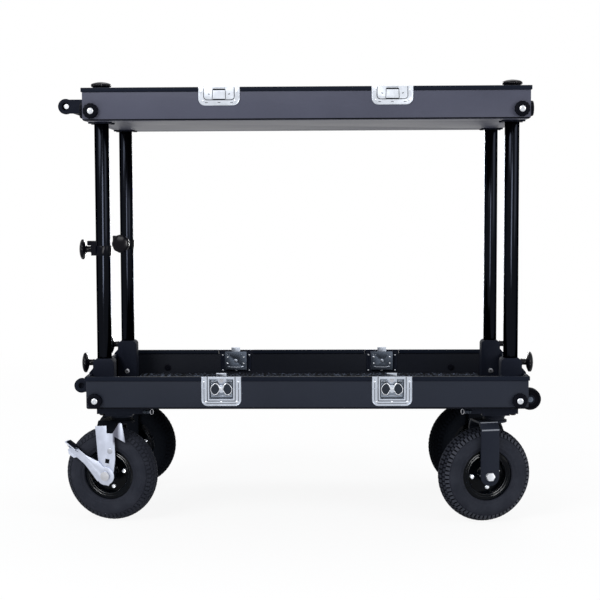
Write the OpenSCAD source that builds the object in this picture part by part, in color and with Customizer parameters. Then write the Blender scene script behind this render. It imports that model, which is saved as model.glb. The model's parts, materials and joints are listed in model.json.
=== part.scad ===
// Camera cart: two open trays joined by four round posts, on four swivel casters.
// Millimetres, +X to the right, +Y to the rear, +Z up, the ground at Z = 0.
// Places along X are kept from the middle of the trays. placed() then moves every
// piece so that the origin lies under the middle of the cart's outline.

/* [Trays] */
// Length of both trays
tray_l = 1140; // [1000:10:1300]
// Depth of both trays, front to rear
tray_w = 644; // [580:4:720]
// Height of each tray, floor to rim top
tray_h = 84; // [82:1:100]
// Sheet thickness of the tray panels
sheet = 3; // [2.5:0.5:4]
// Radius of the trays' lower long corners
corner_r = 6; // [5:1:10]
// Height of the rim rail
rim_h = 11; // [8:1:14]
// How far the rim stands out of the panels
rim_out = 3; // [2:0.5:5]
// How far the rim reaches inside the panels
rim_in = 7; // [5:1:9]
// Clear height between the lower rim and the upper tray
bay_h = 657; // [600:1:760]
// Thickness of the lower liner pad
pad_t = 14; // [8:1:22]
// Thickness of the upper liner mat
mat_t = 5; // [3:1:8]

/* [Posts] */
// Diameter of the round posts
post_d = 38.1; // [34:0.1:40]
// Wall of the post tubes
post_wall = 2.5; // [2:0.5:4]
// Post axis inside the tray's end faces
post_inset_x = 35.5; // [35:0.5:45]
// Post axis inside the tray's long faces
post_inset_y = 91; // [88:1:100]
// Radial running clearance of posts and pins
run_gap = 0.05; // [0.03:0.01:0.09]
// Width of the square corner sockets
socket_w = 54; // [52:1:56]
// Top of the base sockets above the lower rim
socket_rise = 39; // [34:1:50]
// Radius of the base sockets' upper corners
socket_r = 12; // [8:1:13]
// Height of the upper sockets above their floor
cap_socket_h = 70; // [60:1:76]
// Thickness of the closed upper end of a socket
socket_end = 10; // [8:1:12]

/* [Clamp knobs] */
// Diameter of the round clamp knobs
knob_d = 54; // [46:1:56]
// Thickness of the knob discs
knob_t = 18; // [14:1:20]
// Thickness of a knob disc at its edge
knob_edge = 6; // [4:1:8]
// Length of the knob hub
hub_l = 14; // [12:1:18]
// Diameter of the knob hub
hub_d = 18; // [16:1:22]
// Diameter of the knob stud
stud_d = 8; // [6:1:10]
// Base knob axis under the top of its socket
knob_drop = 12; // [12:1:16]

/* [Post collars] */
// Bottom of the collar rings above the ground
collar_z = 703; // [690:1:760]
// Height of the collar rings
collar_h = 26; // [24:1:30]
// Wall of the collar rings
collar_wall = 3; // [2.5:0.5:5]
// Face of the collar boss from the post axis
boss_reach = 30; // [28:1:34]
// Reach of the collar ear from the post axis
ear_reach = 40; // [36:1:41]
// Turn of the rear collar's knob about its post
rear_knob_turn = 258; // [240:1:270]

/* [Latches] */
// Latch centres from the middle of the tray
latch_x = 220; // [150:5:300]
// Width of the recessed latch dishes
dish_w = 103; // [90:1:110]
// Height of the recessed latch dishes
dish_h = 76; // [66:1:78]
// Sheet thickness of the latch parts
latch_t = 1.5; // [1:0.25:1.75]
// Width of the recess inside a latch dish
pan_w = 62; // [58:1:66]
// Height of the recess inside a latch dish
pan_h = 52; // [52:1:56]
// Depth of a latch dish behind the panel face
pan_depth = 14; // [13:1:16]
// Reach of the butterfly wings from their drum axis
wing_r = 26; // [20:0.5:26]
// How far the latch hooks stand above the rim
hook_rise = 8; // [5:1:10]
// Lift of a latch hook over half a turn of its wings
hook_lift = 6; // [4:1:8]
// Width of the catch plates on the upper rim
catch_w = 105; // [96:1:110]
// Height of the catch plates
catch_h = 47; // [44:1:50]

/* [End fittings] */
// Diameter of the rubber corner bumpers
bumper_d = 40; // [36:1:42]
// Thickness of the rubber corner bumpers
bumper_t = 10; // [8:1:12]
// Reach of the push handle's bar past the end panel
handle_reach = 57; // [50:1:80]
// Height of the push handle arms
arm_h = 40; // [36:1:44]
// Diameter of the push handle bar
bar_d = 23; // [20:1:28]
// Reach of the tow lug bores past the end panel
lug_reach = 26; // [24:1:36]
// Outer diameter of the tow lugs
lug_d = 38; // [34:1:42]
// Diameter of the tow lug bores
lug_bore = 16; // [12:1:18]
// Diameter of the end rollers
roller_d = 57; // [50:1:60]
// Width of the end rollers
roller_w = 24; // [20:1:26]
// Roller axis past the end panel
roller_reach = 9; // [6:1:14]

/* [Casters] */
// Diameter of the tyres
wheel_d = 250; // [240:1:260]
// Width of the tyres
tyre_w = 74; // [68:1:76]
// Diameter of the rim flanges
flange_d = 134; // [128:1:138]
// Diameter of the wheel axles
axle_d = 16; // [12:1:18]
// Caster swivel axis inside the end panels
king_inset = 78; // [78:1:90]
// Trail of the casters
trail = 27; // [22:1:32]
// Width of the fork legs
leg_w = 50; // [44:1:54]
// Thickness of the fork plate
fork_t = 6; // [5:1:8]
// Gap between a tyre and its fork legs
fork_gap = 6; // [5:1:9]
// Clear height between a tyre and its fork crown
crown_gap = 12; // [10:1:16]
// Height of the swivel bearing
bearing_h = 16; // [14:1:20]
// Height of the rails that carry the casters
rail_h = 19; // [18:1:24]
// Length of the caster rails
rail_l = 146; // [140:1:160]
// Width of the caster rails
rail_w = 104; // [100:1:112]
// Rest turn of the front left caster
turn_fl = -12; // [-40:1:40]
// Rest turn of the front right caster
turn_fr = 14; // [-40:1:40]
// Rest turn of the rear left caster
turn_rl = -8; // [-40:1:40]
// Rest turn of the rear right caster
turn_rr = 26; // [-40:1:40]

/* [Hidden] */
$fn = 64;
facing = 0.3; // gap between faces that turn or slide past each other
half_l = tray_l / 2;
half_w = tray_w / 2;
post_r = post_d / 2;
post_x = half_l - post_inset_x;
post_y = half_w - post_inset_y;
bore_r = post_r + run_gap;
stud_r = stud_d / 2;
axle_r = axle_d / 2;

// heights, from the ground up
wheel_r = wheel_d / 2;
crown_z = wheel_d + crown_gap;
race_z = crown_z + fork_t;
top_plate_t = 6;
top_plate_z = race_z + bearing_h;
rail_z = top_plate_z + top_plate_t;
lower_z = rail_z + rail_h;
lower_top = lower_z + tray_h;
upper_z = lower_top + bay_h;
upper_top = upper_z + tray_h;
socket_top = lower_top + socket_rise;
base_knob_z = socket_top - knob_drop;
post_foot = lower_z + sheet + 4;
cap_top = upper_z + sheet + cap_socket_h;
post_head = cap_top - socket_end;

// collars
collar_knob_z = collar_z + 16.5;
ear_z = collar_knob_z + hub_d / 2 + 1;
ear_t = 12;
boss_w = 26;

// latches
pan_top = lower_top - 6;
drum_z = pan_top - pan_h / 2;
drum_r = 10;
spindle_r = 3;
pan_floor_y = -half_w + pan_depth - latch_t;
hook_w = 26;
hook_t = 2.3;
dish_r = 16;
frame_w = 4;

// end fittings
arm_t = 12;
arm_z = upper_z + tray_h / 2;
lug_t = 14;
lug_bore_depth = 10;
lug_z = lower_z + tray_h / 2 + 8;
foot_t = 5;
plug_x = half_l - 143;
bumper_x = half_l - bumper_d / 2 - 2;
low_bumper_z = lower_z + bumper_d / 2 + 1;
high_bumper_z = upper_z + bumper_d / 2 + 5;
end_bumper_y = half_w - 30;
screw_r = 8;
roller_r = roller_d / 2;
roller_x = half_l + roller_reach;
roller_z = lower_z + 20;
roller_y = half_w - 46;
cheek_t = 2;
pocket_w = roller_w + 1 + 2 * cheek_t;
pocket_x = roller_x - roller_r - 2 - cheek_t;
pocket_top = roller_z + roller_r + 2 + cheek_t;

// casters
king_x = half_l - king_inset;
king_y = post_y;
king_r = 8;
rail_end = king_x + 57;
rail_t = 4;
lip_w = 16;
lock_x = king_x + 50;
section_r = tyre_w / 2;
ring_r = wheel_r - section_r;
leg_in = section_r + fork_gap;
leg_out = leg_in + fork_t;
shoulder_z = crown_z - 13;
crown_out = 36;
brake_t = 3;
lever_turn = 143;

left_reach = half_l + handle_reach + arm_h / 2;
right_reach = roller_x + roller_r;
mid_x = (left_reach - right_reach) / 2;
sides = [-1, 1];

// the whole cart, with the origin under the middle of its outline
module placed() { translate([mid_x, 0, 0]) children(); }

// a piece drawn at the front right corner, carried to corner side_x, side_y
module corner(side_x, side_y) {
    placed()
        mirror([side_x < 0 ? 1 : 0, 0, 0])
            mirror([0, side_y > 0 ? 1 : 0, 0])
                children();
}

module all_corners() { for (side_x = sides, side_y = sides) corner(side_x, side_y) children(); }

// a box given by its low corner and its high corner
module span(low, high) { translate(low) cube(high - low); }

// a flat outline in X and Z, standing from face_y towards the front by depth
module standing(face_y, depth) { translate([0, face_y, 0]) rotate([90, 0, 0]) linear_extrude(depth) children(); }

// points of a round corner
function arc_points(centre, radius, from, to, steps = 6) =
    [for (i = [0:steps]) let (a = from + (to - from) * i / steps) centre + radius * [cos(a), sin(a)]];

// a plate outline with two round lower corners, hanging from z_top
module hung_outline(width, height, z_top, radius) {
    polygon(concat(
        [[-width / 2, z_top]],
        arc_points([-width / 2 + radius, z_top - height + radius], radius, 180, 270),
        arc_points([width / 2 - radius, z_top - height + radius], radius, 270, 360),
        [[width / 2, z_top]]));
}

// the front view of a tray's panels
module tray_outline(z) { hung_outline(tray_l, tray_h - rim_h, z + tray_h - rim_h, corner_r); }

// folded sheet tray: floor, two long walls and two end walls
module tray_sheets(z) {
    standing(-half_w + sheet, sheet) tray_outline(z);
    standing(half_w, sheet) tray_outline(z);
    intersection() {
        standing(half_w - sheet, tray_w - 2 * sheet) tray_outline(z);
        span([-half_l, -half_w, z], [half_l, half_w, z + sheet]);
    }
    for (side = sides)
        intersection() {
            standing(half_w - sheet, tray_w - 2 * sheet) tray_outline(z);
            translate([side * (half_l - sheet / 2) - sheet / 2, -half_w, z + sheet]) cube([sheet, tray_w, tray_h]);
        }
}

// four mitred rim rails, with a gap for each fitting of width gap_w on the long sides
module rim_rails(z_top, gap_w) {
    out_x = half_l + rim_out;
    out_y = half_w + rim_out;
    in_x = half_l - rim_in;
    in_y = half_w - rim_in;
    for (side = sides) {
        difference() {
            translate([0, 0, z_top - rim_h]) linear_extrude(rim_h)
                polygon([[-out_x, side * out_y], [out_x, side * out_y], [in_x, side * in_y], [-in_x, side * in_y]]);
            for (fitting = sides)
                translate([fitting * latch_x - gap_w / 2, side * half_w - 20, z_top - rim_h - 1])
                    cube([gap_w, 40, rim_h + 2]);
        }
        translate([0, 0, z_top - rim_h]) linear_extrude(rim_h)
            polygon([[side * out_x, -out_y], [side * out_x, out_y], [side * in_x, in_y], [side * in_x, -in_y]]);
    }
}

// flat liner with its corners cut out round the sockets
module liner(z, thick, half_x, half_y) {
    cut_x = post_x - socket_w / 2 - 3;
    cut_y = post_y - socket_w / 2 - 3;
    translate([0, 0, z]) linear_extrude(thick)
        polygon([[-half_x, -cut_y], [-cut_x, -cut_y], [-cut_x, -half_y], [cut_x, -half_y],
                 [cut_x, -cut_y], [half_x, -cut_y], [half_x, cut_y], [cut_x, cut_y],
                 [cut_x, half_y], [-cut_x, half_y], [-cut_x, cut_y], [-half_x, cut_y]]);
}

module lower_panels() {
    pan_out = pan_w / 2 + latch_t + facing;
    color("#2c2f37") placed() difference() {
        tray_sheets(lower_z);
        for (fitting = sides)
            translate([fitting * latch_x - pan_out, -half_w - 1, pan_top - pan_h - latch_t - facing])
                cube([2 * pan_out, tray_w + 2, tray_h]);
        for (side = sides)
            translate([pocket_x, side * roller_y - pocket_w / 2, lower_z - 1])
                cube([half_l, pocket_w, pocket_top - lower_z + 1]);
    }
}

module upper_panels() {
    color("#4b5260") placed() difference() {
        tray_sheets(upper_z);
        for (side_x = sides, side_y = sides)
            translate([side_x * post_x, side_y * post_y, upper_z - 1]) cylinder(r = bore_r, h = sheet + 2);
    }
}

module lower_rim() { color("#23262d") placed() rim_rails(lower_top, dish_w + 2 * facing); }

module upper_rim() { color("#101319") placed() rim_rails(upper_top, catch_w + 2 * facing); }

module lower_pad() {
    color("#1a1b20") placed()
        liner(lower_z + sheet, pad_t, half_l - sheet - 1, half_w - pan_depth - 3);
}

module upper_mat() {
    color("#1a1b20") placed()
        liner(upper_z + sheet, mat_t, half_l - sheet - 1, half_w - sheet - 1);
}

// base socket: a block with round shoulders, a sloped web to the end rim and a blind bore
module base_socket() {
    low_z = lower_z + sheet;
    half_s = socket_w / 2;
    web_w = 40;
    translate([post_x, -post_y, 0]) difference() {
        union() {
            standing(half_s, socket_w)
                polygon(concat(
                    [[-half_s, low_z], [half_s, low_z]],
                    arc_points([half_s - socket_r, socket_top - socket_r], socket_r, 0, 90),
                    arc_points([-half_s + socket_r, socket_top - socket_r], socket_r, 90, 180)));
            standing(web_w / 2, web_w)
                polygon([[half_s - 1, lower_top], [post_inset_x + rim_out, lower_top],
                         [post_inset_x + rim_out, lower_top + 2], [half_s, lower_top + 15],
                         [half_s - 1, lower_top + 15]]);
        }
        translate([0, 0, post_foot]) cylinder(r = bore_r, h = socket_top);
        translate([0, 0, base_knob_z]) rotate([0, 90, 0]) cylinder(r = stud_r + run_gap, h = socket_w);
    }
}

// button head of a cross bolt on a socket's inner face
module socket_screw() {
    translate([post_x, -post_y + socket_w / 2, lower_z + 34])
        rotate([-90, 0, 0]) cylinder(r = 7, h = 3);
}

module base_sockets() {
    color("#17191f") all_corners() base_socket();
    color("silver") all_corners() socket_screw();
}

// pressed latch dish with its raised frame and recess, drawn on the front wall
module latch_dish() {
    difference() {
        union() {
            standing(-half_w, latch_t) hung_outline(dish_w, dish_h, lower_top, dish_r);
            span([-pan_w / 2 - frame_w, -half_w - latch_t - 1, pan_top - pan_h - frame_w],
                 [pan_w / 2 + frame_w, -half_w, pan_top + frame_w]);
            span([-pan_w / 2 - latch_t, -half_w, pan_top - pan_h - latch_t],
                 [pan_w / 2 + latch_t, -half_w + pan_depth, pan_top + latch_t]);
        }
        span([-pan_w / 2, -half_w - latch_t - 2, pan_top - pan_h], [pan_w / 2, pan_floor_y, pan_top]);
        span([-hook_w / 2 - facing, pan_floor_y - hook_t - 2 * facing, pan_top - 1],
             [hook_w / 2 + facing, pan_floor_y, pan_top + latch_t + 1]);
        standing(0, half_w) translate([0, drum_z]) circle(r = spindle_r + run_gap);
    }
}

// a latch part drawn at the middle of the front wall, carried to its latch
module at_latch(side_x, side_y) {
    placed()
        translate([side_x * latch_x, 0, 0])
            mirror([0, side_y > 0 ? 1 : 0, 0])
                children();
}

module latch_dishes() {
    color("#c3cad6") for (side_x = sides, side_y = sides) at_latch(side_x, side_y) latch_dish();
}

// backing plate inside the wall, cut out round the dish
module latch_backing() {
    plate_half = pan_w / 2 + 15;
    hole_half = pan_w / 2 + latch_t + facing;
    low_z = pan_top - pan_h - 8;
    rivets = [[-1, low_z + 4], [1, low_z + 4], [0, low_z + 4],
              [-1, lower_top - rim_h - 5], [1, lower_top - rim_h - 5]];
    difference() {
        span([-plate_half, -half_w + sheet, low_z],
             [plate_half, -half_w + sheet + latch_t, lower_top - rim_h]);
        span([-hole_half, -half_w, pan_top - pan_h - latch_t - facing], [hole_half, 0, lower_top]);
    }
    for (rivet = rivets)
        translate([rivet[0] * (plate_half - 6), -half_w + sheet + latch_t, rivet[1]])
            rotate([-90, 0, 0]) cylinder(r = 2.5, h = 1);
}

module latch_backings() {
    color("#101217") for (side_x = sides, side_y = sides) at_latch(side_x, side_y) latch_backing();
}

// turning drum with two butterfly wings, on a spindle through the dish
module latch_wing(side_x, side_y) {
    tail_y = -half_w + pan_depth + 2;
    color("#9aa3b1") at_latch(side_x, side_y) {
        standing(pan_floor_y - facing, pan_depth - 3) translate([0, drum_z]) circle(r = drum_r);
        standing(tail_y, 6) translate([0, drum_z]) circle(r = spindle_r);
        standing(tail_y, 2 - facing) translate([0, drum_z]) circle(r = spindle_r + 2);
        standing(-half_w + 3, 3)
            for (side = sides)
                translate([0, drum_z])
                    polygon([[side * 8, 7], [side * 14, 12], [side * (wing_r - 5), 8], [side * (wing_r - 1), 0],
                             [side * (wing_r - 5), -12], [side * 13, -13], [side * 8, -7]]);
    }
}

// hook plate that the drum lifts
module latch_hook(side_x, side_y) {
    low_z = drum_z + drum_r + 1;
    back_y = pan_floor_y - facing;
    color("#dfe4ec") at_latch(side_x, side_y) {
        span([-hook_w / 2, back_y - hook_t, low_z], [hook_w / 2, back_y, lower_top + hook_rise]);
        span([-hook_w / 2, back_y - 6, lower_top + hook_rise - hook_t], [hook_w / 2, back_y, lower_top + hook_rise]);
    }
}

// catch plate with a raised middle and a blind keeper slot
module catch_plate() {
    slot_w = 30;
    difference() {
        union() {
            standing(-half_w, 2) hung_outline(catch_w, catch_h, upper_top, 17);
            standing(-half_w - 1, 3) hung_outline(catch_w - 29, catch_h - 15, upper_top, 8);
        }
        span([-slot_w / 2, -half_w - 5, upper_top - 7.5], [slot_w / 2, -half_w - 2, upper_top - 2]);
    }
    for (x = [-catch_w / 2 + 7, catch_w / 2 - 7])
        translate([x, -half_w - 2, upper_top - 12]) rotate([90, 0, 0]) cylinder(r = 3, h = 1);
}

module catch_plates() {
    color("#c3cad6") for (side_x = sides, side_y = sides) at_latch(side_x, side_y) catch_plate();
}

// round rubber bumper on a face, standing along +Z
module bumper() {
    rotate_extrude()
        polygon([[0, 0], [bumper_d / 2, 0], [bumper_d / 2, bumper_t - 2], [bumper_d / 2 - 2, bumper_t], [0, bumper_t]]);
}

module bumper_screw() { translate([0, 0, bumper_t]) cylinder(r = screw_r, h = 2); }

module front_bumper(z) {
    translate([bumper_x, -half_w, z]) rotate([90, 0, 0]) {
        color("#121318") bumper();
        color("silver") bumper_screw();
    }
}

module end_bumper(z) {
    translate([half_l, -end_bumper_y, z]) rotate([0, 90, 0]) {
        color("#121318") bumper();
        color("silver") bumper_screw();
    }
}

// rubber stop inside the rear wall
module wall_stop() {
    color("#121318") translate([plug_x, half_w - sheet, lower_z + 31]) rotate([90, 0, 0]) cylinder(r = 9, h = 6);
}

module lower_bumpers() {
    all_corners() front_bumper(low_bumper_z);
    placed() for (side = sides) mirror([side < 0 ? 1 : 0, 0, 0]) wall_stop();
}

module upper_bumpers() {
    all_corners() front_bumper(high_bumper_z);
    all_corners() end_bumper(high_bumper_z + 2);
}

// tow lug on the left end, drawn at the front right corner and mirrored
module tow_lug() {
    difference() {
        union() {
            standing(-post_y + lug_t / 2, lug_t) {
                translate([half_l, lug_z - lug_d / 2 + 2]) square([lug_reach, lug_d - 4]);
                translate([half_l + lug_reach, lug_z]) circle(r = lug_d / 2);
            }
            span([half_l, -post_y - 22, lug_z - 20], [half_l + foot_t, -post_y + 22, lug_z + 20]);
        }
        standing(-post_y - lug_t / 2 + lug_bore_depth, half_w) translate([half_l + lug_reach, lug_z])
            circle(r = lug_bore / 2);
    }
}

// pocket for an end roller, with its two cheeks
module roller_pocket() {
    low_y = -roller_y - pocket_w / 2;
    difference() {
        union() {
            span([pocket_x, low_y, lower_z], [half_l, low_y + pocket_w, pocket_top]);
            standing(low_y + pocket_w, pocket_w) {
                translate([half_l - 4, roller_z - 10]) square([roller_reach + 4, 20]);
                translate([roller_x, roller_z]) circle(r = 12);
            }
        }
        span([pocket_x + cheek_t, low_y + cheek_t, lower_z - 1],
             [half_l + 60, low_y + pocket_w - cheek_t, pocket_top - cheek_t]);
        standing(0, half_w) translate([roller_x, roller_z]) circle(r = 4 + run_gap);
    }
}

module roller_pin() {
    low_y = -roller_y - pocket_w / 2;
    standing(low_y + pocket_w, pocket_w) translate([roller_x, roller_z]) circle(r = 4);
    standing(low_y, 3) translate([roller_x, roller_z]) circle(r = 7);
}

module end_brackets() {
    color("#17191f") for (side_y = sides) corner(-1, side_y) tow_lug();
    color("#17191f") for (side_y = sides) corner(1, side_y) roller_pocket();
    color("silver") for (side_y = sides) corner(1, side_y) roller_pin();
}

module end_roller(side_y) {
    color("#14151a") corner(1, side_y)
        translate([roller_x, -roller_y, roller_z]) rotate([90, 0, 0])
            rotate_extrude()
                polygon([[4 + run_gap, -roller_w / 2], [roller_r - 3, -roller_w / 2], [roller_r, -roller_w / 2 + 3],
                         [roller_r, roller_w / 2 - 3], [roller_r - 3, roller_w / 2], [4 + run_gap, roller_w / 2]]);
}

// channel under the floor that holds a caster's slide plate
module caster_rail() {
    half_r = rail_w / 2;
    lock_r = stud_r + run_gap;
    translate([0, -king_y, 0]) difference() {
        union() {
            difference() {
                span([rail_end - rail_l, -half_r, rail_z], [rail_end, half_r, lower_z]);
                span([rail_end - rail_l - 1, -half_r + rail_t, rail_z + rail_t], [rail_end + 1, half_r - rail_t, lower_z - rail_t]);
                span([rail_end - rail_l - 1, -half_r + lip_w, rail_z - 1], [rail_end + 1, half_r - lip_w, rail_z + rail_t + 1]);
            }
            span([rail_end - 21, -half_r + lip_w - 1, rail_z], [rail_end, half_r - lip_w + 1, rail_z + rail_t]);
        }
        translate([lock_x, 0, rail_z - 1]) cylinder(r = lock_r, h = rail_t + 2);
    }
}

module caster_rails() { color("#1b1d23") all_corners() caster_rail(); }

// caster top plate with its slide plate, upper race and kingpin
module caster_plate() {
    half_r = rail_w / 2;
    slide_l = lock_x - stud_r - facing - king_x;
    translate([king_x, -king_y, 0]) {
        span([-slide_l, -half_r + rail_t + facing, rail_z + rail_t + facing],
             [slide_l, half_r - rail_t - facing, rail_z + rail_t + 9]);
        span([-36, -half_r + lip_w + facing, rail_z - 1], [25, half_r - lip_w - facing, rail_z + rail_t + 1]);
        span([-36, -46, top_plate_z], [36, 46, rail_z - facing]);
        translate([0, 0, race_z + bearing_h / 2 + facing / 2]) cylinder(r = 30, h = bearing_h / 2);
        translate([0, 0, crown_z - 7]) cylinder(r = king_r, h = rail_z - crown_z + 8);
        translate([0, 0, crown_z - 7]) cylinder(r = 12, h = 7 - facing, $fn = 6);
    }
}

module caster_plates() { color("#2a2c33") all_corners() caster_plate(); }

// spring plunger that locks a caster in its rail
module plunger(side_x, side_y) {
    color("#101116") corner(side_x, side_y) translate([lock_x, -king_y, 0]) {
        translate([0, 0, rail_z - 11]) cylinder(r = 8.5, h = 11 - facing);
        translate([0, 0, rail_z - 1]) cylinder(r = stud_r, h = rail_t + 6);
    }
}

// a caster part drawn about its kingpin with the trail along -X and the outer face at -Y
module at_caster(side_x, side_y, turn) {
    placed()
        translate([side_x * king_x, side_y * king_y, 0])
            rotate([0, 0, turn])
                mirror([0, side_y > 0 ? 1 : 0, 0])
                    children();
}

// a turned part about the wheel axle, its profile in radius and width
module about_axle() { translate([-trail, 0, wheel_r]) rotate([90, 0, 0]) rotate_extrude() children(); }

// a flat outline in X and Z from the wheel axle
module beside_wheel(face_y, depth) {
    translate([-trail, face_y, wheel_r]) rotate([90, 0, 0]) linear_extrude(depth) children();
}

module fork_plate() {
    crown_in = crown_out - fork_t;
    intersection() {
        translate([-trail - leg_w / 2, 0, 0]) rotate([90, 0, 90]) linear_extrude(leg_w)
            polygon([[-leg_out, 0], [-leg_out, shoulder_z], [-crown_out, race_z], [crown_out, race_z],
                     [leg_out, shoulder_z], [leg_out, 0], [leg_in, 0], [leg_in, shoulder_z - 2],
                     [crown_in, crown_z], [-crown_in, crown_z], [-leg_in, shoulder_z - 2], [-leg_in, 0]]);
        beside_wheel(100, 200)
            polygon(concat([[leg_w / 2, wheel_d]],
                [[-leg_w / 2, wheel_d]], arc_points([0, 0], leg_w / 2, 180, 360, 12)));
    }
}

// swivelling fork with its race above and its axle clamped between the legs
module fork(side_x, side_y, turn, braked) {
    near_y = braked ? leg_out + 2 * brake_t + 2 * facing : leg_out;
    color("#1c1e25") at_caster(side_x, side_y, turn) difference() {
        union() {
            fork_plate();
            translate([0, 0, crown_z]) cylinder(r = 34, h = fork_t);
            translate([0, 0, race_z - 1]) cylinder(r = 28, h = bearing_h / 2 + 1 - facing / 2);
            beside_wheel(leg_out + 2, leg_out + 2 + near_y + 2) circle(r = axle_r);
            beside_wheel(-near_y, braked ? 5 : 7) circle(r = 12, $fn = braked ? 64 : 6);
            beside_wheel(leg_out + 7, 7) circle(r = 12, $fn = 6);
        }
        translate([0, 0, crown_z - 1]) cylinder(r = king_r + run_gap, h = bearing_h + fork_t);
    }
}

module tyre(side_x, side_y, turn) {
    seat_r = flange_d / 2 - 8;
    bead = section_r - 15;
    color("#1d1f25") at_caster(side_x, side_y, turn) about_axle() difference() {
        translate([ring_r, 0]) circle(r = section_r);
        translate([0, -section_r]) square([seat_r, tyre_w]);
        for (side = sides)
            translate([0, side > 0 ? bead : -bead - section_r]) square([flange_d / 2, section_r]);
    }
}

module wheel_rim(side_x, side_y, turn) {
    seat_r = flange_d / 2 - 8;
    bead = section_r - 15;
    barrel_r = seat_r - 4;
    hub_r = 20;
    hub_half = leg_in - facing;
    color("#2c353e") at_caster(side_x, side_y, turn) {
        about_axle() difference() {
            union() {
                translate([barrel_r, -bead]) square([seat_r - barrel_r, 2 * bead]);
                for (side = sides)
                    translate([barrel_r, side > 0 ? bead : -bead - 4]) square([flange_d / 2 - barrel_r, 4]);
                translate([axle_r, -5]) square([barrel_r, 10]);
                translate([axle_r, -hub_half]) square([hub_r - axle_r, 2 * hub_half]);
            }
            translate([0, -hub_half - 1]) square([axle_r + run_gap, 2 * hub_half + 2]);
            translate([seat_r, -bead]) square([flange_d, 2 * bead]);
        }
        beside_wheel(11, 22)
            for (i = [0:3]) rotate(10 + 90 * i) translate([36, 0]) circle(r = 5.5, $fn = 6);
    }
}

// bright side plate of a brake with its gusset, the corners taken from the axle
module brake_plate(side_x, side_y, turn) {
    color("#cfd5e0") at_caster(side_x, side_y, turn) beside_wheel(-leg_out, brake_t)
        difference() {
            polygon([[-28, 131], [4, 133], [4, 113], [20, 113], [38, 141], [46, 141], [55, 90],
                     [25, 105], [27, 46], [22, 10], [8, -27], [-14, -20], [-20, 35]]);
            circle(r = axle_r + run_gap);
            translate([4, 38]) rotate(25) square(8, center = true);
        }
}

// foot lever of a brake: arm, folded tread plate and rubber pad
module brake_lever(side_x, side_y, turn) {
    near_y = -leg_out - brake_t - facing;
    tread_w = 26;
    color("#cfd5e0") at_caster(side_x, side_y, turn) {
        beside_wheel(near_y, brake_t) difference() {
            union() {
                circle(r = 24);
                rotate(lever_turn) mirror([0, 1])
                    polygon([[0, -10], [9, -25], [45, -15], [65, -10.5], [118, -9], [135, 9], [135, 11.5],
                             [75, 10.5], [37, 19], [0, 14]]);
            }
            circle(r = axle_r + run_gap);
        }
        beside_wheel(near_y - 1, tread_w - 1) rotate(lever_turn) mirror([0, 1]) translate([101, 10]) square([36, 3]);
    }
    color("#15161b") at_caster(side_x, side_y, turn)
        beside_wheel(near_y - 2, tread_w - 3) rotate(lever_turn) mirror([0, 1]) translate([107, 12]) square([26, 5]);
}

// round clamp knob about Z, its seat at Z = 0 and its stud below
module knob(stud_l) {
    sag = (knob_t - knob_edge) / 2;
    dome_r = (knob_d * knob_d / 4 + sag * sag) / (2 * sag);
    disc_z = hub_l + knob_t / 2;
    rotate_extrude() {
        translate([0, -stud_l]) square([stud_r, stud_l + 1]);
        square([hub_d / 2, disc_z]);
        intersection() {
            translate([0, hub_l]) square([knob_d / 2, knob_t]);
            translate([0, disc_z + knob_t / 2 - dome_r]) circle(r = dome_r);
            translate([0, disc_z - knob_t / 2 + dome_r]) circle(r = dome_r);
        }
    }
}

module base_knob(side_x, side_y) {
    color("#0c0d12") corner(side_x, side_y)
        translate([post_x + socket_w / 2, -post_y, base_knob_z]) rotate([0, 90, 0])
            knob(socket_w / 2 - post_r - facing);
}

module top_knob(side_x, side_y) {
    color("#0c0d12") corner(side_x, side_y)
        translate([post_x, -post_y, cap_top]) knob(socket_end + 14);
}

// post tube with a tapped plug in its head
module post() {
    plug_l = 20;
    translate([post_x, -post_y, 0]) difference() {
        translate([0, 0, post_foot]) cylinder(r = post_r, h = post_head - post_foot);
        translate([0, 0, post_foot - 1]) cylinder(r = post_r - post_wall, h = post_head - plug_l - post_foot + 1);
        translate([0, 0, post_head - plug_l - 2]) cylinder(r = stud_r + run_gap, h = plug_l + 4);
    }
}

module posts() { color("#0b0c11") all_corners() post(); }

// square boss of a collar, pointing along +X
module collar_boss(reach, low_z, high_z) { span([0, -boss_w / 2, low_z], [reach, boss_w / 2, high_z]); }

// clamp collar about a post of the left end, with its knob boss at knob_turn
module collar(side_y, knob_turn) {
    color("#12131a") placed() translate([-post_x, side_y * post_y, 0]) difference() {
        union() {
            translate([0, 0, collar_z]) cylinder(r = bore_r + collar_wall, h = collar_h);
            rotate([0, 0, 180]) collar_boss(boss_reach, collar_z, ear_z + 1);
            rotate([0, 0, 180]) collar_boss(ear_reach, ear_z, ear_z + ear_t);
            rotate([0, 0, knob_turn]) collar_boss(boss_reach, collar_z, ear_z);
        }
        translate([0, 0, collar_z - 1]) cylinder(r = bore_r, h = 100);
        translate([0, 0, collar_knob_z]) rotate([0, 90, knob_turn]) cylinder(r = stud_r + run_gap, h = 60);
    }
}

module collar_knob(side_y, knob_turn) {
    color("#0c0d12") placed() translate([-post_x, side_y * post_y, collar_knob_z])
        rotate([0, 0, knob_turn]) translate([boss_reach, 0, 0]) rotate([0, 90, 0])
            knob(boss_reach - post_r - facing);
}

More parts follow.
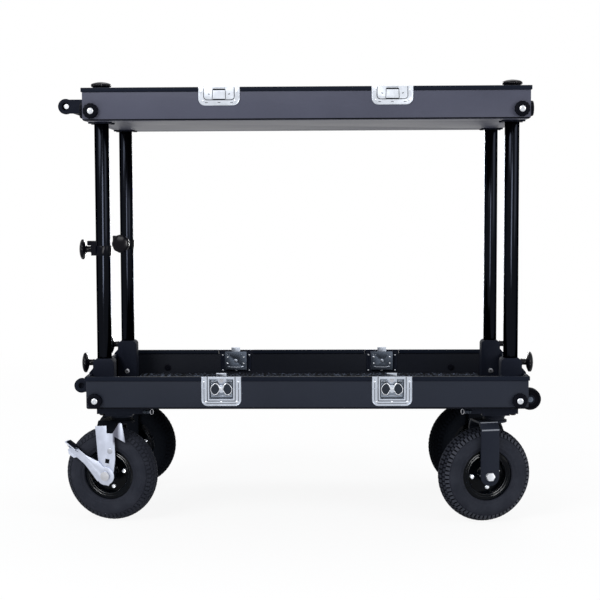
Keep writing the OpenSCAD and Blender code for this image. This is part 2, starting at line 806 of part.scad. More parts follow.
// socket inside the upper tray that caps a post, with its ring and bolt heads below the floor
module upper_socket() {
    half_s = socket_w / 2;
    ring_t = 3.5;
    translate([post_x, -post_y, 0]) {
        difference() {
            span([-half_s, -half_s, upper_z + sheet], [half_s, half_s, cap_top]);
            translate([0, 0, upper_z]) cylinder(r = bore_r, h = post_head - upper_z);
            translate([0, 0, upper_z]) cylinder(r = stud_r + run_gap, h = tray_h);
        }
        difference() {
            translate([0, 0, upper_z - ring_t]) cylinder(r = post_r + 7, h = ring_t);
            translate([0, 0, upper_z - 10]) cylinder(r = bore_r, h = 20);
        }
        for (bolt_x = sides, bolt_y = sides)
            translate([bolt_x * (half_s - 2), bolt_y * (half_s - 2), upper_z - 4]) cylinder(r = 6, h = 4);
    }
}

module upper_sockets() { color("#17191f") all_corners() upper_socket(); }

// push handle arm on the left end, drawn at the front right corner and mirrored
module handle_arm() {
    difference() {
        union() {
            standing(-post_y + arm_t / 2, arm_t) {
                translate([half_l, arm_z - arm_h / 2 + 2]) square([handle_reach, arm_h - 4]);
                translate([half_l + handle_reach, arm_z]) circle(r = arm_h / 2);
            }
            span([half_l, -post_y - 20, arm_z - 22], [half_l + foot_t, -post_y + 20, arm_z + 22]);
        }
        standing(0, half_w) translate([half_l + handle_reach, arm_z]) circle(r = bar_d / 2 + run_gap);
    }
}

module push_handle() {
    color("#1a1c22") for (side_y = sides) corner(-1, side_y) handle_arm();
    color("#101116") corner(-1, -1) standing(post_y + arm_t / 2, 2 * post_y + arm_t)
        translate([half_l + handle_reach, arm_z]) difference() {
            circle(r = bar_d / 2);
            circle(r = bar_d / 2 - 2);
        }
}

lower_panels();
lower_rim();
lower_pad();
base_sockets();
latch_dishes();
latch_backings();
lower_bumpers();
end_brackets();
caster_rails();
caster_plates();
plunger(-1, -1);  // plunger_fl
plunger(1, -1);  // plunger_fr
plunger(-1, 1);  // plunger_rl
plunger(1, 1);  // plunger_rr
latch_wing(-1, -1);  // latch_wing_fl
latch_wing(1, -1);  // latch_wing_fr
latch_wing(-1, 1);  // latch_wing_rl
latch_wing(1, 1);  // latch_wing_rr
latch_hook(-1, -1);  // latch_hook_fl
latch_hook(1, -1);  // latch_hook_fr
latch_hook(-1, 1);  // latch_hook_rl
latch_hook(1, 1);  // latch_hook_rr
base_knob(-1, -1);  // base_knob_fl
base_knob(1, -1);  // base_knob_fr
base_knob(-1, 1);  // base_knob_rl
base_knob(1, 1);  // base_knob_rr
end_roller(-1);  // end_roller_front
end_roller(1);  // end_roller_rear
fork(-1, -1, turn_fl, true);  // fork_fl
fork(1, -1, turn_fr, false);  // fork_fr
fork(-1, 1, turn_rl, true);  // fork_rl
fork(1, 1, turn_rr, false);  // fork_rr
tyre(-1, -1, turn_fl);  // tyre_fl
tyre(1, -1, turn_fr);  // tyre_fr
tyre(-1, 1, turn_rl);  // tyre_rl
tyre(1, 1, turn_rr);  // tyre_rr
wheel_rim(-1, -1, turn_fl);  // wheel_rim_fl
wheel_rim(1, -1, turn_fr);  // wheel_rim_fr
wheel_rim(-1, 1, turn_rl);  // wheel_rim_rl
wheel_rim(1, 1, turn_rr);  // wheel_rim_rr
brake_plate(-1, -1, turn_fl);  // brake_plate_fl
brake_plate(-1, 1, turn_rl);  // brake_plate_rl
brake_lever(-1, -1, turn_fl);  // brake_lever_fl
brake_lever(-1, 1, turn_rl);  // brake_lever_rl
posts();
collar(-1, 180);  // collar_front
collar(1, rear_knob_turn);  // collar_rear
collar_knob(-1, 180);  // collar_knob_front
collar_knob(1, rear_knob_turn);  // collar_knob_rear
upper_panels();
upper_rim();
upper_mat();
upper_sockets();
catch_plates();
upper_bumpers();
push_handle();
top_knob(-1, -1);  // top_knob_fl
top_knob(1, -1);  // top_knob_fr
top_knob(-1, 1);  // top_knob_rl
top_knob(1, 1);  // top_knob_rr
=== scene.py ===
import json
import math

import bmesh
import bpy
from mathutils import Matrix, Vector

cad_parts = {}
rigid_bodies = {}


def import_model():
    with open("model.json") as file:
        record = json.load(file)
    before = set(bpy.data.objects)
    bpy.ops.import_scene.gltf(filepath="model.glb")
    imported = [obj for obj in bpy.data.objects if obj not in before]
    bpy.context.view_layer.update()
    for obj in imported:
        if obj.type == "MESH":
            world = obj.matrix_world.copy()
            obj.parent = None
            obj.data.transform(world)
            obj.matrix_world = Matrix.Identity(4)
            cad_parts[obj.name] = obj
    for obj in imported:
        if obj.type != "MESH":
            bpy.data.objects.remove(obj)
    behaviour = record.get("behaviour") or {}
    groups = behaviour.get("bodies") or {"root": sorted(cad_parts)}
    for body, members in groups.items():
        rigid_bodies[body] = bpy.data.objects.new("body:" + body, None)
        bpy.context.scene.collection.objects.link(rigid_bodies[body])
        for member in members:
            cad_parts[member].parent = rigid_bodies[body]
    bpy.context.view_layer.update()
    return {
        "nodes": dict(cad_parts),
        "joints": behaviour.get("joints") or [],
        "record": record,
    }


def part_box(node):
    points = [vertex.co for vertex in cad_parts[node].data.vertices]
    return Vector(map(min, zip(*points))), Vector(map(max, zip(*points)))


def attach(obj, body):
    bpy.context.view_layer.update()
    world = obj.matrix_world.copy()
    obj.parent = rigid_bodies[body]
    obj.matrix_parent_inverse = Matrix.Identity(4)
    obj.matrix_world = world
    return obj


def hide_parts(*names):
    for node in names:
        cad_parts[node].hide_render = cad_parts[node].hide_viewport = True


for leftover in list(bpy.data.objects):
    bpy.data.objects.remove(leftover)
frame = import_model()
cartNodes = frame["nodes"]
trayLow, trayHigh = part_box("upper_panels")
midX = (trayLow.x + trayHigh.x) / 2  # middle of the trays, which the handle shifts off the origin
halfL = (trayHigh.x - trayLow.x) / 2
halfW = trayHigh.y
joints = {joint["name"]: joint for joint in frame["joints"]}
corners = {"fl": (-1, -1), "fr": (1, -1), "rl": (-1, 1), "rr": (1, 1)}
mm = 0.001
print("frame loaded")


# every node is made here: its settings first, then the values or links of its sockets
class NodeMaker:
    def __init__(self, tree):
        self.tree = tree

    def node(self, kind, settings=None, values=None):
        made = self.tree.nodes.new(kind)
        for key, value in (settings or {}).items():
            setattr(made, key, value)
        for key, value in (values or {}).items():
            given = value.socket if isinstance(value, Wire) else value
            if isinstance(given, bpy.types.NodeSocket):
                self.tree.links.new(given, made.inputs[key])
            else:
                made.inputs[key].default_value = given
        return made


# node maths: a socket that can be added, taken away, scaled and divided
class Wire:
    def __init__(self, maker, socket):
        self.maker = maker
        self.socket = socket

    def joined(self, operation, first, second=None):
        values = {0: first} if second is None else {0: first, 1: second}
        made = self.maker.node("ShaderNodeMath", {"operation": operation}, values)
        return Wire(self.maker, made.outputs[0])

    def __add__(self, other):
        return self.joined("ADD", self, other)

    def __radd__(self, other):
        return self.joined("ADD", other, self)

    def __sub__(self, other):
        return self.joined("SUBTRACT", self, other)

    def __rsub__(self, other):
        return self.joined("SUBTRACT", other, self)

    def __mul__(self, other):
        return self.joined("MULTIPLY", self, other)

    def __rmul__(self, other):
        return self.joined("MULTIPLY", other, self)

    def __abs__(self):
        return self.joined("ABSOLUTE", self)

    def __truediv__(self, other):
        return self.joined("DIVIDE", self, other)

    def sine(self):
        return self.joined("SINE", self)

    def larger(self, other):
        return self.joined("MAXIMUM", self, other)


class Recipe(NodeMaker):
    def __init__(self, name):
        self.material = bpy.data.materials.new(name)
        self.material.use_nodes = True
        super().__init__(self.material.node_tree)
        self.shader = self.tree.nodes["Principled BSDF"]
        self.place = Wire(self, self.node("ShaderNodeTexCoord").outputs["Object"])

    def stretched(self, scale):  # object coordinates scaled unevenly, for drawn or brushed grain
        made = self.node("ShaderNodeMapping", {}, {"Vector": self.place, "Scale": scale})
        return Wire(self, made.outputs["Vector"])

    def noise(self, scale, detail=3.0, roughness=0.5, place=None):
        values = {"Vector": place or self.place, "Scale": scale, "Detail": detail, "Roughness": roughness}
        return Wire(self, self.node("ShaderNodeTexNoise", {}, values).outputs["Fac"])

    def cells(self, scale):
        made = self.node("ShaderNodeTexVoronoi", {"feature": "F1"}, {"Vector": self.place, "Scale": scale})
        return Wire(self, made.outputs["Distance"])

    def vector(self, operation, first, second=(0, 0, 0), output="Value"):
        made = self.node("ShaderNodeVectorMath", {"operation": operation}, {0: first, 1: second})
        return Wire(self, made.outputs[output])

    def band(self, wire, low, high):  # 0 below the low value and 1 above the high one
        values = {"Value": wire, "From Min": low, "From Max": high}
        made = self.node("ShaderNodeMapRange", {"clamp": True}, values)
        return Wire(self, made.outputs["Result"])

    def mixed(self, share, first, second):
        colours = [colour if isinstance(colour, Wire) else (*colour, 1.0) for colour in (first, second)]
        made = self.node("ShaderNodeMix", {"data_type": "RGBA"}, {0: share, 6: colours[0], 7: colours[1]})
        return Wire(self, made.outputs[2])

    def bump(self, height, strength, distance):
        made = self.node("ShaderNodeBump", {}, {"Height": height, "Strength": strength, "Distance": distance})
        self.tree.links.new(made.outputs["Normal"], self.shader.inputs["Normal"])

    def feed(self, **values):
        names = {
            "colour": "Base Color", "roughness": "Roughness", "metallic": "Metallic", "coat": "Coat Weight",
        }
        for key, value in values.items():
            socket = self.shader.inputs[names[key]]
            if isinstance(value, Wire):
                self.tree.links.new(value.socket, socket)
            else:
                socket.default_value = (*value, 1.0) if key == "colour" else value

    def level(self, **values):  # numbers that are the same all over
        names = {"specular": "Specular IOR Level", "coatRoughness": "Coat Roughness"}
        for key, value in values.items():
            self.shader.inputs[names[key]].default_value = value


# finishes
def powderCoat(name, colour, roughness, grain, specular):
    paint = Recipe(name)
    cloud = paint.noise(7.0, 4.0)
    speckle = paint.noise(900.0, 2.0, 0.6)
    scuff = paint.band(paint.noise(34.0, 5.0, 0.7), 0.66, 0.8)
    pale = tuple(min(1.0, part * 1.35 + 0.004) for part in colour)
    dark = tuple(part * 0.86 for part in colour)
    body = paint.mixed(paint.band(cloud, 0.3, 0.7), dark, colour)
    body = paint.mixed(paint.band(speckle, 0.55, 0.8) * 0.45, body, pale)
    paint.feed(
        colour=paint.mixed(scuff * 0.25, body, pale),
        roughness=roughness + 0.12 * (cloud - 0.5) + 0.1 * scuff,
    )
    paint.bump(speckle, 0.18 * grain, 0.0004)
    paint.level(specular=specular)
    return paint.material


def glossEnamel(name, colour, roughness, coat, specular):
    enamel = Recipe(name)
    peel = enamel.noise(160.0, 2.0)
    dust = enamel.band(enamel.noise(420.0, 3.0, 0.65), 0.64, 0.86) * 0.35
    smear = enamel.noise(16.0, 4.0, 0.6)
    enamel.feed(
        colour=enamel.mixed(dust * 0.3, colour, tuple(part + 0.008 for part in colour)),
        roughness=roughness + 0.06 * enamel.band(smear, 0.42, 0.72) + 0.1 * dust,
        coat=coat * (1 - dust),
    )
    enamel.bump(peel, 0.05, 0.0005)
    enamel.level(specular=specular, coatRoughness=0.1)
    return enamel.material


def blackMetal(name, colour, roughness, edge):
    metal = Recipe(name)
    drawn = metal.noise(160.0, 2.0, 0.5, metal.stretched((1, 1, 0.06)))
    dust = metal.band(metal.noise(420.0, 3.0, 0.65), 0.66, 0.86)
    smear = metal.noise(16.0, 4.0, 0.6)
    metal.feed(
        colour=metal.mixed(dust * 0.4, colour, tuple(part * 1.8 for part in colour)),
        roughness=roughness + 0.08 * metal.band(smear, 0.42, 0.72) + 0.1 * dust,
        metallic=1.0,
    )
    metal.bump(drawn, 0.05, 0.0005)
    metal.shader.inputs["Specular Tint"].default_value = (*edge, 1.0)
    return metal.material


def brightPlate(name, colour, roughness, grain=(1, 1, 1)):
    plate = Recipe(name)
    cloud = plate.noise(48.0, 4.0, 0.6)
    brushed = plate.noise(700.0, 2.0, 0.7, plate.stretched(grain))
    stain = plate.band(plate.noise(95.0, 5.0, 0.7), 0.58, 0.76)
    shade = plate.mixed(plate.band(cloud, 0.3, 0.72), tuple(part * 0.82 for part in colour), colour)
    plate.feed(
        colour=plate.mixed(stain * 0.35, shade, tuple(part * 0.5 for part in colour)),
        metallic=0.95 - 0.25 * stain,
        roughness=roughness + 0.16 * cloud + 0.12 * stain,
    )
    plate.bump(brushed + cloud, 0.12, 0.0004)
    return plate.material


# bright plate with painted shade: its gusset, beside and above the centre, darkens away from its own middle
# line
gussetShade = {
    "middle": 0.0455, "band": (0.002, 0.0115), "beside": (0.0190, 0.0235), "above": (0.080, 0.092),
    "dark": (0.045, 0.043, 0.07),
}


def gussetShadedPlate(name, colour, centre, along):
    plate = Recipe(name)
    away = plate.vector("SUBTRACT", plate.place, tuple(centre), "Vector")
    beside = plate.vector("DOT_PRODUCT", away, tuple(along))
    above = plate.vector("DOT_PRODUCT", away, (0, 0, 1))
    cloud = plate.noise(48.0, 4.0, 0.6)
    gusset = plate.band(beside, *gussetShade["beside"]) * plate.band(above, *gussetShade["above"])
    shaded = gusset * plate.band(abs(beside - gussetShade["middle"]), *gussetShade["band"])
    body = plate.mixed(plate.band(cloud, 0.3, 0.72), tuple(part * 0.86 for part in colour), colour)
    plate.feed(
        colour=plate.mixed(shaded * 0.9, body, gussetShade["dark"]),
        metallic=0.95 - 0.6 * shaded,
        roughness=0.4 + 0.12 * cloud,
    )
    plate.bump(plate.noise(700.0, 2.0, 0.7, plate.stretched((1, 1, 0.08))) + cloud, 0.12, 0.0004)
    return plate.material


def mouldedRubber(name, colour, roughness=0.72, grain=420.0, depth=0.0006, lift=0.012, specular=0.1):
    rubber = Recipe(name)
    fine = rubber.noise(grain, 3.0, 0.65)
    bloom = rubber.noise(20.0, 5.0, 0.62)
    worn = tuple(part * 1.6 + lift for part in colour)
    pale = rubber.band(bloom, 0.4, 0.75) * 0.55 + 0.2 * rubber.band(fine, 0.5, 0.8)
    rubber.feed(
        colour=rubber.mixed(pale, colour, worn),
        roughness=roughness + 0.16 * (bloom - 0.5),
    )
    rubber.bump(fine + 0.5 * bloom, 0.35, depth)
    rubber.level(specular=specular)
    return rubber.material


def openFoam(name, colour):
    foam = Recipe(name)
    pores = foam.band(foam.cells(520.0), 0.05, 0.45)
    clump = foam.band(foam.noise(105.0, 4.0, 0.7), 0.49, 0.6)
    worn = foam.band(foam.noise(24.0, 3.0, 0.5), 0.35, 0.65)
    dark, pale = tuple(part * 0.12 for part in colour), tuple(part * 13.0 for part in colour)
    foam.feed(
        colour=foam.mixed(clump * (0.35 + 0.65 * worn) * (0.6 + 0.4 * pores), dark, pale),
        roughness=0.88 + 0.1 * pores,
    )
    foam.bump(pores + 2 * clump, 0.9, 0.0016)
    foam.level(specular=0.1)
    return foam.material


def knobMoulding(name, colour):
    plastic = Recipe(name)
    swirl = plastic.noise(75.0, 4.0, 0.6)
    handled = plastic.band(plastic.noise(26.0, 4.0, 0.6), 0.5, 0.72)
    plastic.feed(
        colour=plastic.mixed(handled * 0.5, colour, tuple(part + 0.012 for part in colour)),
        roughness=0.2 + 0.16 * handled + 0.05 * swirl,
        coat=0.03 - 0.02 * handled,
    )
    plastic.bump(swirl, 0.06, 0.0006)
    plastic.level(specular=0.08, coatRoughness=0.12)
    return plastic.material


finishes = {
    "lowerPaint": powderCoat("lower tray powder coat", (0.0150, 0.0185, 0.0290), 0.46, 1.0, 0.12),
    # the lower coat darkened for the tray's inside: painted shade
    "innerShadePaint": powderCoat("tray inner powder coat", (0.0072, 0.0088, 0.0140), 0.5, 1.0, 0.08),
    "upperPaint": powderCoat("upper tray powder coat", (0.064, 0.068, 0.098), 0.44, 1.0, 0.15),
    "rimPaint": powderCoat("rim powder coat", (0.006, 0.0085, 0.016), 0.42, 0.7, 0.06),
    "shadowLinePaint": powderCoat("joint shadow paint", (0.006, 0.007, 0.010), 0.6, 0.4, 0.04),
    # near-black coat for the dark band round the trays' lower edges, and painted shade in holes, slots and
    # drive recesses
    "bandAndShadePaint": powderCoat("hem powder coat", (0.0015, 0.002, 0.004), 0.6, 0.5, 0.05),
    "bracketPaint": powderCoat("bracket powder coat", (0.0075, 0.0095, 0.017), 0.55, 1.3, 0.05),
    "railPaint": powderCoat("caster rail powder coat", (0.009, 0.0115, 0.020), 0.5, 1.0, 0.06),
    "forkPaint": powderCoat("fork powder coat", (0.0145, 0.0175, 0.0270), 0.5, 0.8, 0.05),
    # the fork coat darkened for forks in the trays' shadow: painted shade
    "shadedForkPaint": powderCoat("rear fork powder coat", (0.0035, 0.0045, 0.0070), 0.6, 0.8, 0.02),
    "foldHighlightPaint": powderCoat("fork band paint", (0.20, 0.215, 0.25), 0.4, 0.6, 0.3),
    "postEnamel": blackMetal("post enamel", (0.0056, 0.0064, 0.0088), 0.12, (0.10, 0.12, 0.16)),
    "collarEnamel": glossEnamel("collar enamel", (0.0015, 0.002, 0.0045), 0.2, 0.0, 0.06),
    "ringSteel": brightPlate("ring steel", (0.55, 0.56, 0.60), 0.3),
    "wheelEnamel": glossEnamel("wheel enamel", (0.0012, 0.002, 0.0035), 0.16, 0.0, 0.07),
    "knobPlastic": knobMoulding("knob plastic", (0.002, 0.002, 0.004)),
    "latchPlate": brightPlate("latch plate", (0.58, 0.63, 0.72), 0.24),
    "wingPlate": brightPlate("wing plate", (0.030, 0.037, 0.050), 0.22),
    "backPlate": brightPlate("recess back plate", (0.10, 0.12, 0.155), 0.36),
    "shadedPanPlate": brightPlate("recess plate", (0.26, 0.30, 0.36), 0.26),
    "catchPlate": brightPlate("catch plate", (0.69, 0.73, 0.80), 0.34),
    "brakePlate": brightPlate("brake plate", (0.57, 0.61, 0.72), 0.4, (1, 1, 0.08)),
    "boltSteel": brightPlate("bolt steel", (0.72, 0.75, 0.80), 0.26),
    "weldSteel": brightPlate("weld steel", (0.42, 0.44, 0.50), 0.4),
    "tyreRubber": mouldedRubber("tyre rubber", (0.0135, 0.0155, 0.023)),
    "shadedRearRubber": mouldedRubber("rear tyre rubber", (0.0036, 0.0046, 0.0068), 0.8, lift=0.001, specular=0.03),
    "grooveShadeRubber": mouldedRubber(
        "tread groove rubber", (0.0030, 0.0036, 0.0055), 0.8, lift=0.001, specular=0.03,
    ),
    "sheenLugRubber": mouldedRubber("shoulder lug rubber", (0.022, 0.025, 0.036), 0.6, specular=0.2),
    "bumperRubber": mouldedRubber("bumper rubber", (0.0022, 0.0026, 0.0052), 0.5, 600, 0.0004, 0.002, 0.035),
    "matRubber": mouldedRubber("mat rubber", (0.010, 0.010, 0.014), 0.85, 260.0, 0.001),
    "linerFoam": openFoam("liner foam", (0.0120, 0.0145, 0.0205)),
}
print("finishes made:", len(finishes))


# meshes and pieces
bodyOf = {node: body for body, nodes in frame["record"]["behaviour"]["bodies"].items() for node in nodes}


def spot(x, y, z):  # a place in millimetres from the middle of the trays
    return Vector((x * mm + midX, y * mm, z * mm))


def madePiece(name, mesh, body, materials=(), replaced=(), smooth=35):
    piece = bpy.data.objects.new(name, mesh)
    bpy.context.scene.collection.objects.link(piece)
    for material in materials:
        mesh.materials.append(material)
    mesh.shade_smooth()
    if smooth:
        mesh.set_sharp_from_angle(angle=math.radians(smooth))
    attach(piece, body)
    if replaced:
        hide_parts(*replaced)
    return piece


def settledMesh(holder):  # the evaluated mesh, with the modifiers gone
    mesh = bpy.data.meshes.new_from_object(holder.evaluated_get(bpy.context.evaluated_depsgraph_get()))
    holder.modifiers.clear()
    old = holder.data
    holder.data = mesh
    bpy.data.meshes.remove(old)
    return mesh


def meshFrom(shape, name):
    bmesh.ops.recalc_face_normals(shape, faces=shape.faces)
    mesh = bpy.data.meshes.new(name)
    shape.to_mesh(mesh)
    shape.free()
    return mesh


# a copy of a CAD node with eased edges; faces whose every corner passes the rule get the second finish
dressing = {"merge": 2e-6, "flat": 0.4, "edge": 32}


def dressedCopy(node, materials, ease, sides=2, rule=None):
    shape = bmesh.new()
    shape.from_mesh(cartNodes[node].data)
    flat = math.radians(dressing["flat"])
    bmesh.ops.remove_doubles(shape, verts=shape.verts, dist=dressing["merge"])
    bmesh.ops.dissolve_limit(shape, angle_limit=flat, verts=shape.verts, edges=shape.edges)
    if rule:
        for face in shape.faces:
            face.material_index = 1 if all(rule(vertex.co) for vertex in face.verts) else 0
    mesh = bpy.data.meshes.new(node + "_dressed")
    shape.to_mesh(mesh)
    shape.free()
    for material in materials:
        mesh.materials.append(material)
    mesh.shade_smooth()
    piece = bpy.data.objects.new(node + "_dressed", mesh)
    bpy.context.scene.collection.objects.link(piece)
    eased = piece.modifiers.new("ease", "BEVEL")
    eased.width, eased.segments, eased.limit_method = ease * mm, sides, "ANGLE"
    eased.angle_limit, eased.harden_normals = math.radians(dressing["edge"]), True
    settledMesh(piece)
    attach(piece, bodyOf[node])
    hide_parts(node)
    return piece


# a shape turned about an axis, from points of radius and place along the axis
def turnedShape(profile, centre, axis, segments=96, closed=False, wobble=None):
    axis = Vector(axis).normalized()
    across = axis.orthogonal().normalized()
    upward = axis.cross(across)
    shape = bmesh.new()
    rings = []
    for radius, along in profile:
        if radius < 1e-6:
            rings.append([shape.verts.new(centre + axis * along * mm)] * segments)
            continue
        ring = []
        for step in range(segments):
            angle = 2 * math.pi * step / segments
            reach = radius * (wobble(radius, angle) if wobble else 1.0)
            aside = (across * math.cos(angle) + upward * math.sin(angle)) * reach * mm
            ring.append(shape.verts.new(centre + axis * along * mm + aside))
        rings.append(ring)
    pairs = list(zip(rings, rings[1:])) + ([(rings[-1], rings[0])] if closed else [])
    for first, second in pairs:
        for step in range(segments):
            after = (step + 1) % segments
            corner = []
            for vertex in (first[step], first[after], second[after], second[step]):
                if vertex not in corner:
                    corner.append(vertex)
            if len(corner) > 2:
                shape.faces.new(corner)
    return shape


# a flat outline between two heights of a frame, its top raised to a low crown
def prismMesh(outline, low, high, matrix, finish, crown=0.0):
    shape = bmesh.new()
    rings = [[shape.verts.new(matrix @ (Vector((x, y, z)) * mm)) for x, y in outline] for z in (low, high)]
    middleX, middleY = (sum(values) / len(outline) for values in zip(*outline))
    top = shape.verts.new(matrix @ (Vector((middleX, middleY, high + crown)) * mm))
    shape.faces.new(rings[0])
    for step in range(len(outline)):
        after = (step + 1) % len(outline)
        shape.faces.new((rings[0][step], rings[0][after], rings[1][after], rings[1][step]))
        shape.faces.new((rings[1][step], rings[1][after], top))
    mesh = meshFrom(shape, "prism")
    mesh.materials.append(finish)
    return mesh


# geometry node trees: named inputs, and a finish for all that the tree makes
class Grower(NodeMaker):
    def __init__(self, name, inputs):
        super().__init__(bpy.data.node_groups.new(name, "GeometryNodeTree"))
        self.tree.is_modifier = True
        face = self.tree.interface
        face.new_socket("Geometry", in_out="INPUT", socket_type="NodeSocketGeometry")
        for label, kind in inputs:
            face.new_socket(label, in_out="INPUT", socket_type="NodeSocket" + kind)
        face.new_socket("Finish", in_out="INPUT", socket_type="NodeSocketMaterial")
        face.new_socket("Geometry", in_out="OUTPUT", socket_type="NodeSocketGeometry")
        self.ids = {item.name: item.identifier for item in face.items_tree if item.in_out == "INPUT"}
        self.start = self.tree.nodes.new("NodeGroupInput")
        self.end = self.tree.nodes.new("NodeGroupOutput")

    def given(self, label):
        return self.start.outputs[label]

    def close(self, geometry):
        whole = self.node("GeometryNodeRealizeInstances", {}, {"Geometry": geometry})
        values = {"Geometry": whole.outputs[0], "Material": self.given("Finish")}
        dressed = self.node("GeometryNodeSetMaterial", {}, values)
        self.tree.links.new(dressed.outputs[0], self.end.inputs[0])

    def grow(self, name, base, finish, **values):  # base is a mesh; returns the grown mesh
        holder = bpy.data.objects.new(name, base)
        bpy.context.scene.collection.objects.link(holder)
        grown = holder.modifiers.new("grown", "NODES")
        grown.node_group = self.tree
        for label, value in values.items():
            grown[self.ids[label]] = value
        grown[self.ids["Finish"]] = finish
        mesh = settledMesh(holder)
        bpy.data.objects.remove(holder)
        return mesh


def pointMesh(places, edges=()):
    mesh = bpy.data.meshes.new("places")
    mesh.from_pydata([tuple(place) for place in places], list(edges), [])
    return mesh


def openPath(places):
    return pointMesh(places, [(step, step + 1) for step in range(len(places) - 1)])


def closedLinks(count, first=0):
    return [(first + step, first + (step + 1) % count) for step in range(count)]


def joinedMesh(name, meshes):
    slots, shape = [], bmesh.new()
    for mesh in meshes:
        before = len(shape.faces)
        shape.from_mesh(mesh)
        shape.faces.ensure_lookup_table()
        for face in shape.faces[before:]:
            material = mesh.materials[face.material_index]
            if material not in slots:
                slots.append(material)
            face.material_index = slots.index(material)
        bpy.data.meshes.remove(mesh)
    whole = bpy.data.meshes.new(name)
    shape.to_mesh(whole)
    shape.free()
    for material in slots:
        whole.materials.append(material)
    return whole


# a domed head on every point of the base, its top along Facing
domes = Grower("domed heads", [("Radius", "Float"), ("Height", "Float"), ("Facing", "Rotation")])
ball = domes.node("GeometryNodeMeshUVSphere", {}, {"Segments": 20, "Rings": 12, "Radius": 1.0})
stretch = domes.node(
    "ShaderNodeCombineXYZ", {},
    {"X": domes.given("Radius"), "Y": domes.given("Radius"), "Z": domes.given("Height")},
)
flatBall = domes.node(
    "GeometryNodeTransform", {}, {"Geometry": ball.outputs["Mesh"], "Scale": stretch.outputs[0]},
)
placed = domes.node(
    "GeometryNodeInstanceOnPoints", {},
    {"Points": domes.given("Geometry"), "Instance": flatBall.outputs[0], "Rotation": domes.given("Facing")},
)
domes.close(placed.outputs[0])

# one row of tread blocks round a tyre, about Z
treads = Grower("tread row", [
    ("Count", "Int"), ("Ring", "Float"), ("Along", "Float"), ("Tilt", "Float"), ("Phase", "Float"),
    ("Block", "Vector"),
])
rowRing = treads.node(
    "GeometryNodeMeshCircle", {}, {"Vertices": treads.given("Count"), "Radius": treads.given("Ring")},
)
where = treads.node("GeometryNodeInputPosition")
aim = treads.node("FunctionNodeAlignRotationToVector", {"axis": "X"}, {"Vector": where.outputs[0]})
lean = treads.node("ShaderNodeCombineXYZ", {}, {"Y": treads.given("Tilt")})
leaned = treads.node(
    "FunctionNodeRotateRotation", {"rotation_space": "LOCAL"},
    {"Rotation": aim.outputs[0], "Rotate By": lean.outputs[0]},
)
block = treads.node("GeometryNodeMeshCube", {}, {"Size": treads.given("Block")})
ringed = treads.node(
    "GeometryNodeInstanceOnPoints", {},
    {"Points": rowRing.outputs[0], "Instance": block.outputs["Mesh"], "Rotation": leaned.outputs[0]},
)
shift = treads.node("ShaderNodeCombineXYZ", {}, {"Z": treads.given("Along")})
spin = treads.node("ShaderNodeCombineXYZ", {}, {"Z": treads.given("Phase")})
moved = treads.node(
    "GeometryNodeTransform", {},
    {"Geometry": ringed.outputs[0], "Translation": shift.outputs[0], "Rotation": spin.outputs[0]},
)
treads.close(moved.outputs[0])

# a round bead along the edges of the base, its corners rounded
beads = Grower("pressed bead", [("Radius", "Float"), ("Corner", "Float")])
path = beads.node("GeometryNodeMeshToCurve", {}, {"Mesh": beads.given("Geometry")})
rounded = beads.node(
    "GeometryNodeFilletCurve", {"mode": "POLY"},
    {"Curve": path.outputs[0], "Count": 6, "Radius": beads.given("Corner")},
)
section = beads.node(
    "GeometryNodeCurvePrimitiveCircle", {"mode": "RADIUS"},
    {"Resolution": 10, "Radius": beads.given("Radius")},
)
swept = beads.node(
    "GeometryNodeCurveToMesh", {},
    {"Curve": rounded.outputs[0], "Profile Curve": section.outputs[0], "Fill Caps": True},
)
beads.close(swept.outputs[0])

# rows of soft peaks on the flat top of the base
peaks = Grower("foam peaks", [("Top", "Float"), ("Pitch", "Float"), ("Depth", "Float"), ("Seed", "Float")])
where = peaks.node("GeometryNodeInputPosition")
split = peaks.node("ShaderNodeSeparateXYZ", {}, {0: where.outputs[0]})
waves = []
for axisName in ("X", "Y"):
    angle = Wire(peaks, split.outputs[axisName]) / peaks.given("Pitch") * (2 * math.pi)
    waves.append(angle.sine())
rough = peaks.node(
    "ShaderNodeTexNoise", {"noise_dimensions": "4D"},
    {"W": peaks.given("Seed"), "Scale": 70.0, "Detail": 3.0},
)
height = waves[0] * waves[1] + rough.outputs["Fac"]
eased = peaks.node(
    "ShaderNodeMapRange", {"clamp": True},
    {"Value": height, "From Min": -0.5, "From Max": 1.5, "To Min": -1.0, "To Max": 0.0},
)
drop = peaks.node("ShaderNodeCombineXYZ", {}, {"Z": Wire(peaks, eased.outputs[0]) * peaks.given("Depth")})
nearTop = peaks.node(
    "FunctionNodeCompare", {"data_type": "FLOAT", "operation": "GREATER_THAN"},
    {0: split.outputs["Z"], 1: peaks.given("Top")},
)
sunk = peaks.node(
    "GeometryNodeSetPosition", {},
    {"Geometry": peaks.given("Geometry"), "Selection": nearTop.outputs[0], "Offset": drop.outputs[0]},
)
peaks.close(sunk.outputs[0])
print("node trees made")


# trays
tray = {"lowerZ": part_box("lower_panels")[0].z / mm, "upperZ": trayLow.z / mm, "sheet": 2.5, "floor": 2.8}
topTowards = {-1: (math.pi / 2, 0, 0), 1: (-math.pi / 2, 0, 0)}  # turns a head to the front or to the rear


# faces inside the lower tray take the darker inner coat, which is painted shade
def insideTray(place):
    sheet = tray["sheet"] * mm
    inside = abs(place.y) < halfW - sheet and abs(place.x - midX) < halfL - sheet
    return inside and place.z > (tray["lowerZ"] + tray["floor"]) * mm


dressedCopy("lower_panels", (finishes["lowerPaint"], finishes["innerShadePaint"]), 0.8, 2, insideTray)
dressedCopy("upper_panels", (finishes["upperPaint"],), 0.8)
for rim in ("lower_rim", "upper_rim"):
    dressedCopy(rim, (finishes["rimPaint"],), 1.2, 3)
dressedCopy("upper_mat", (finishes["matRubber"],), 1.0)
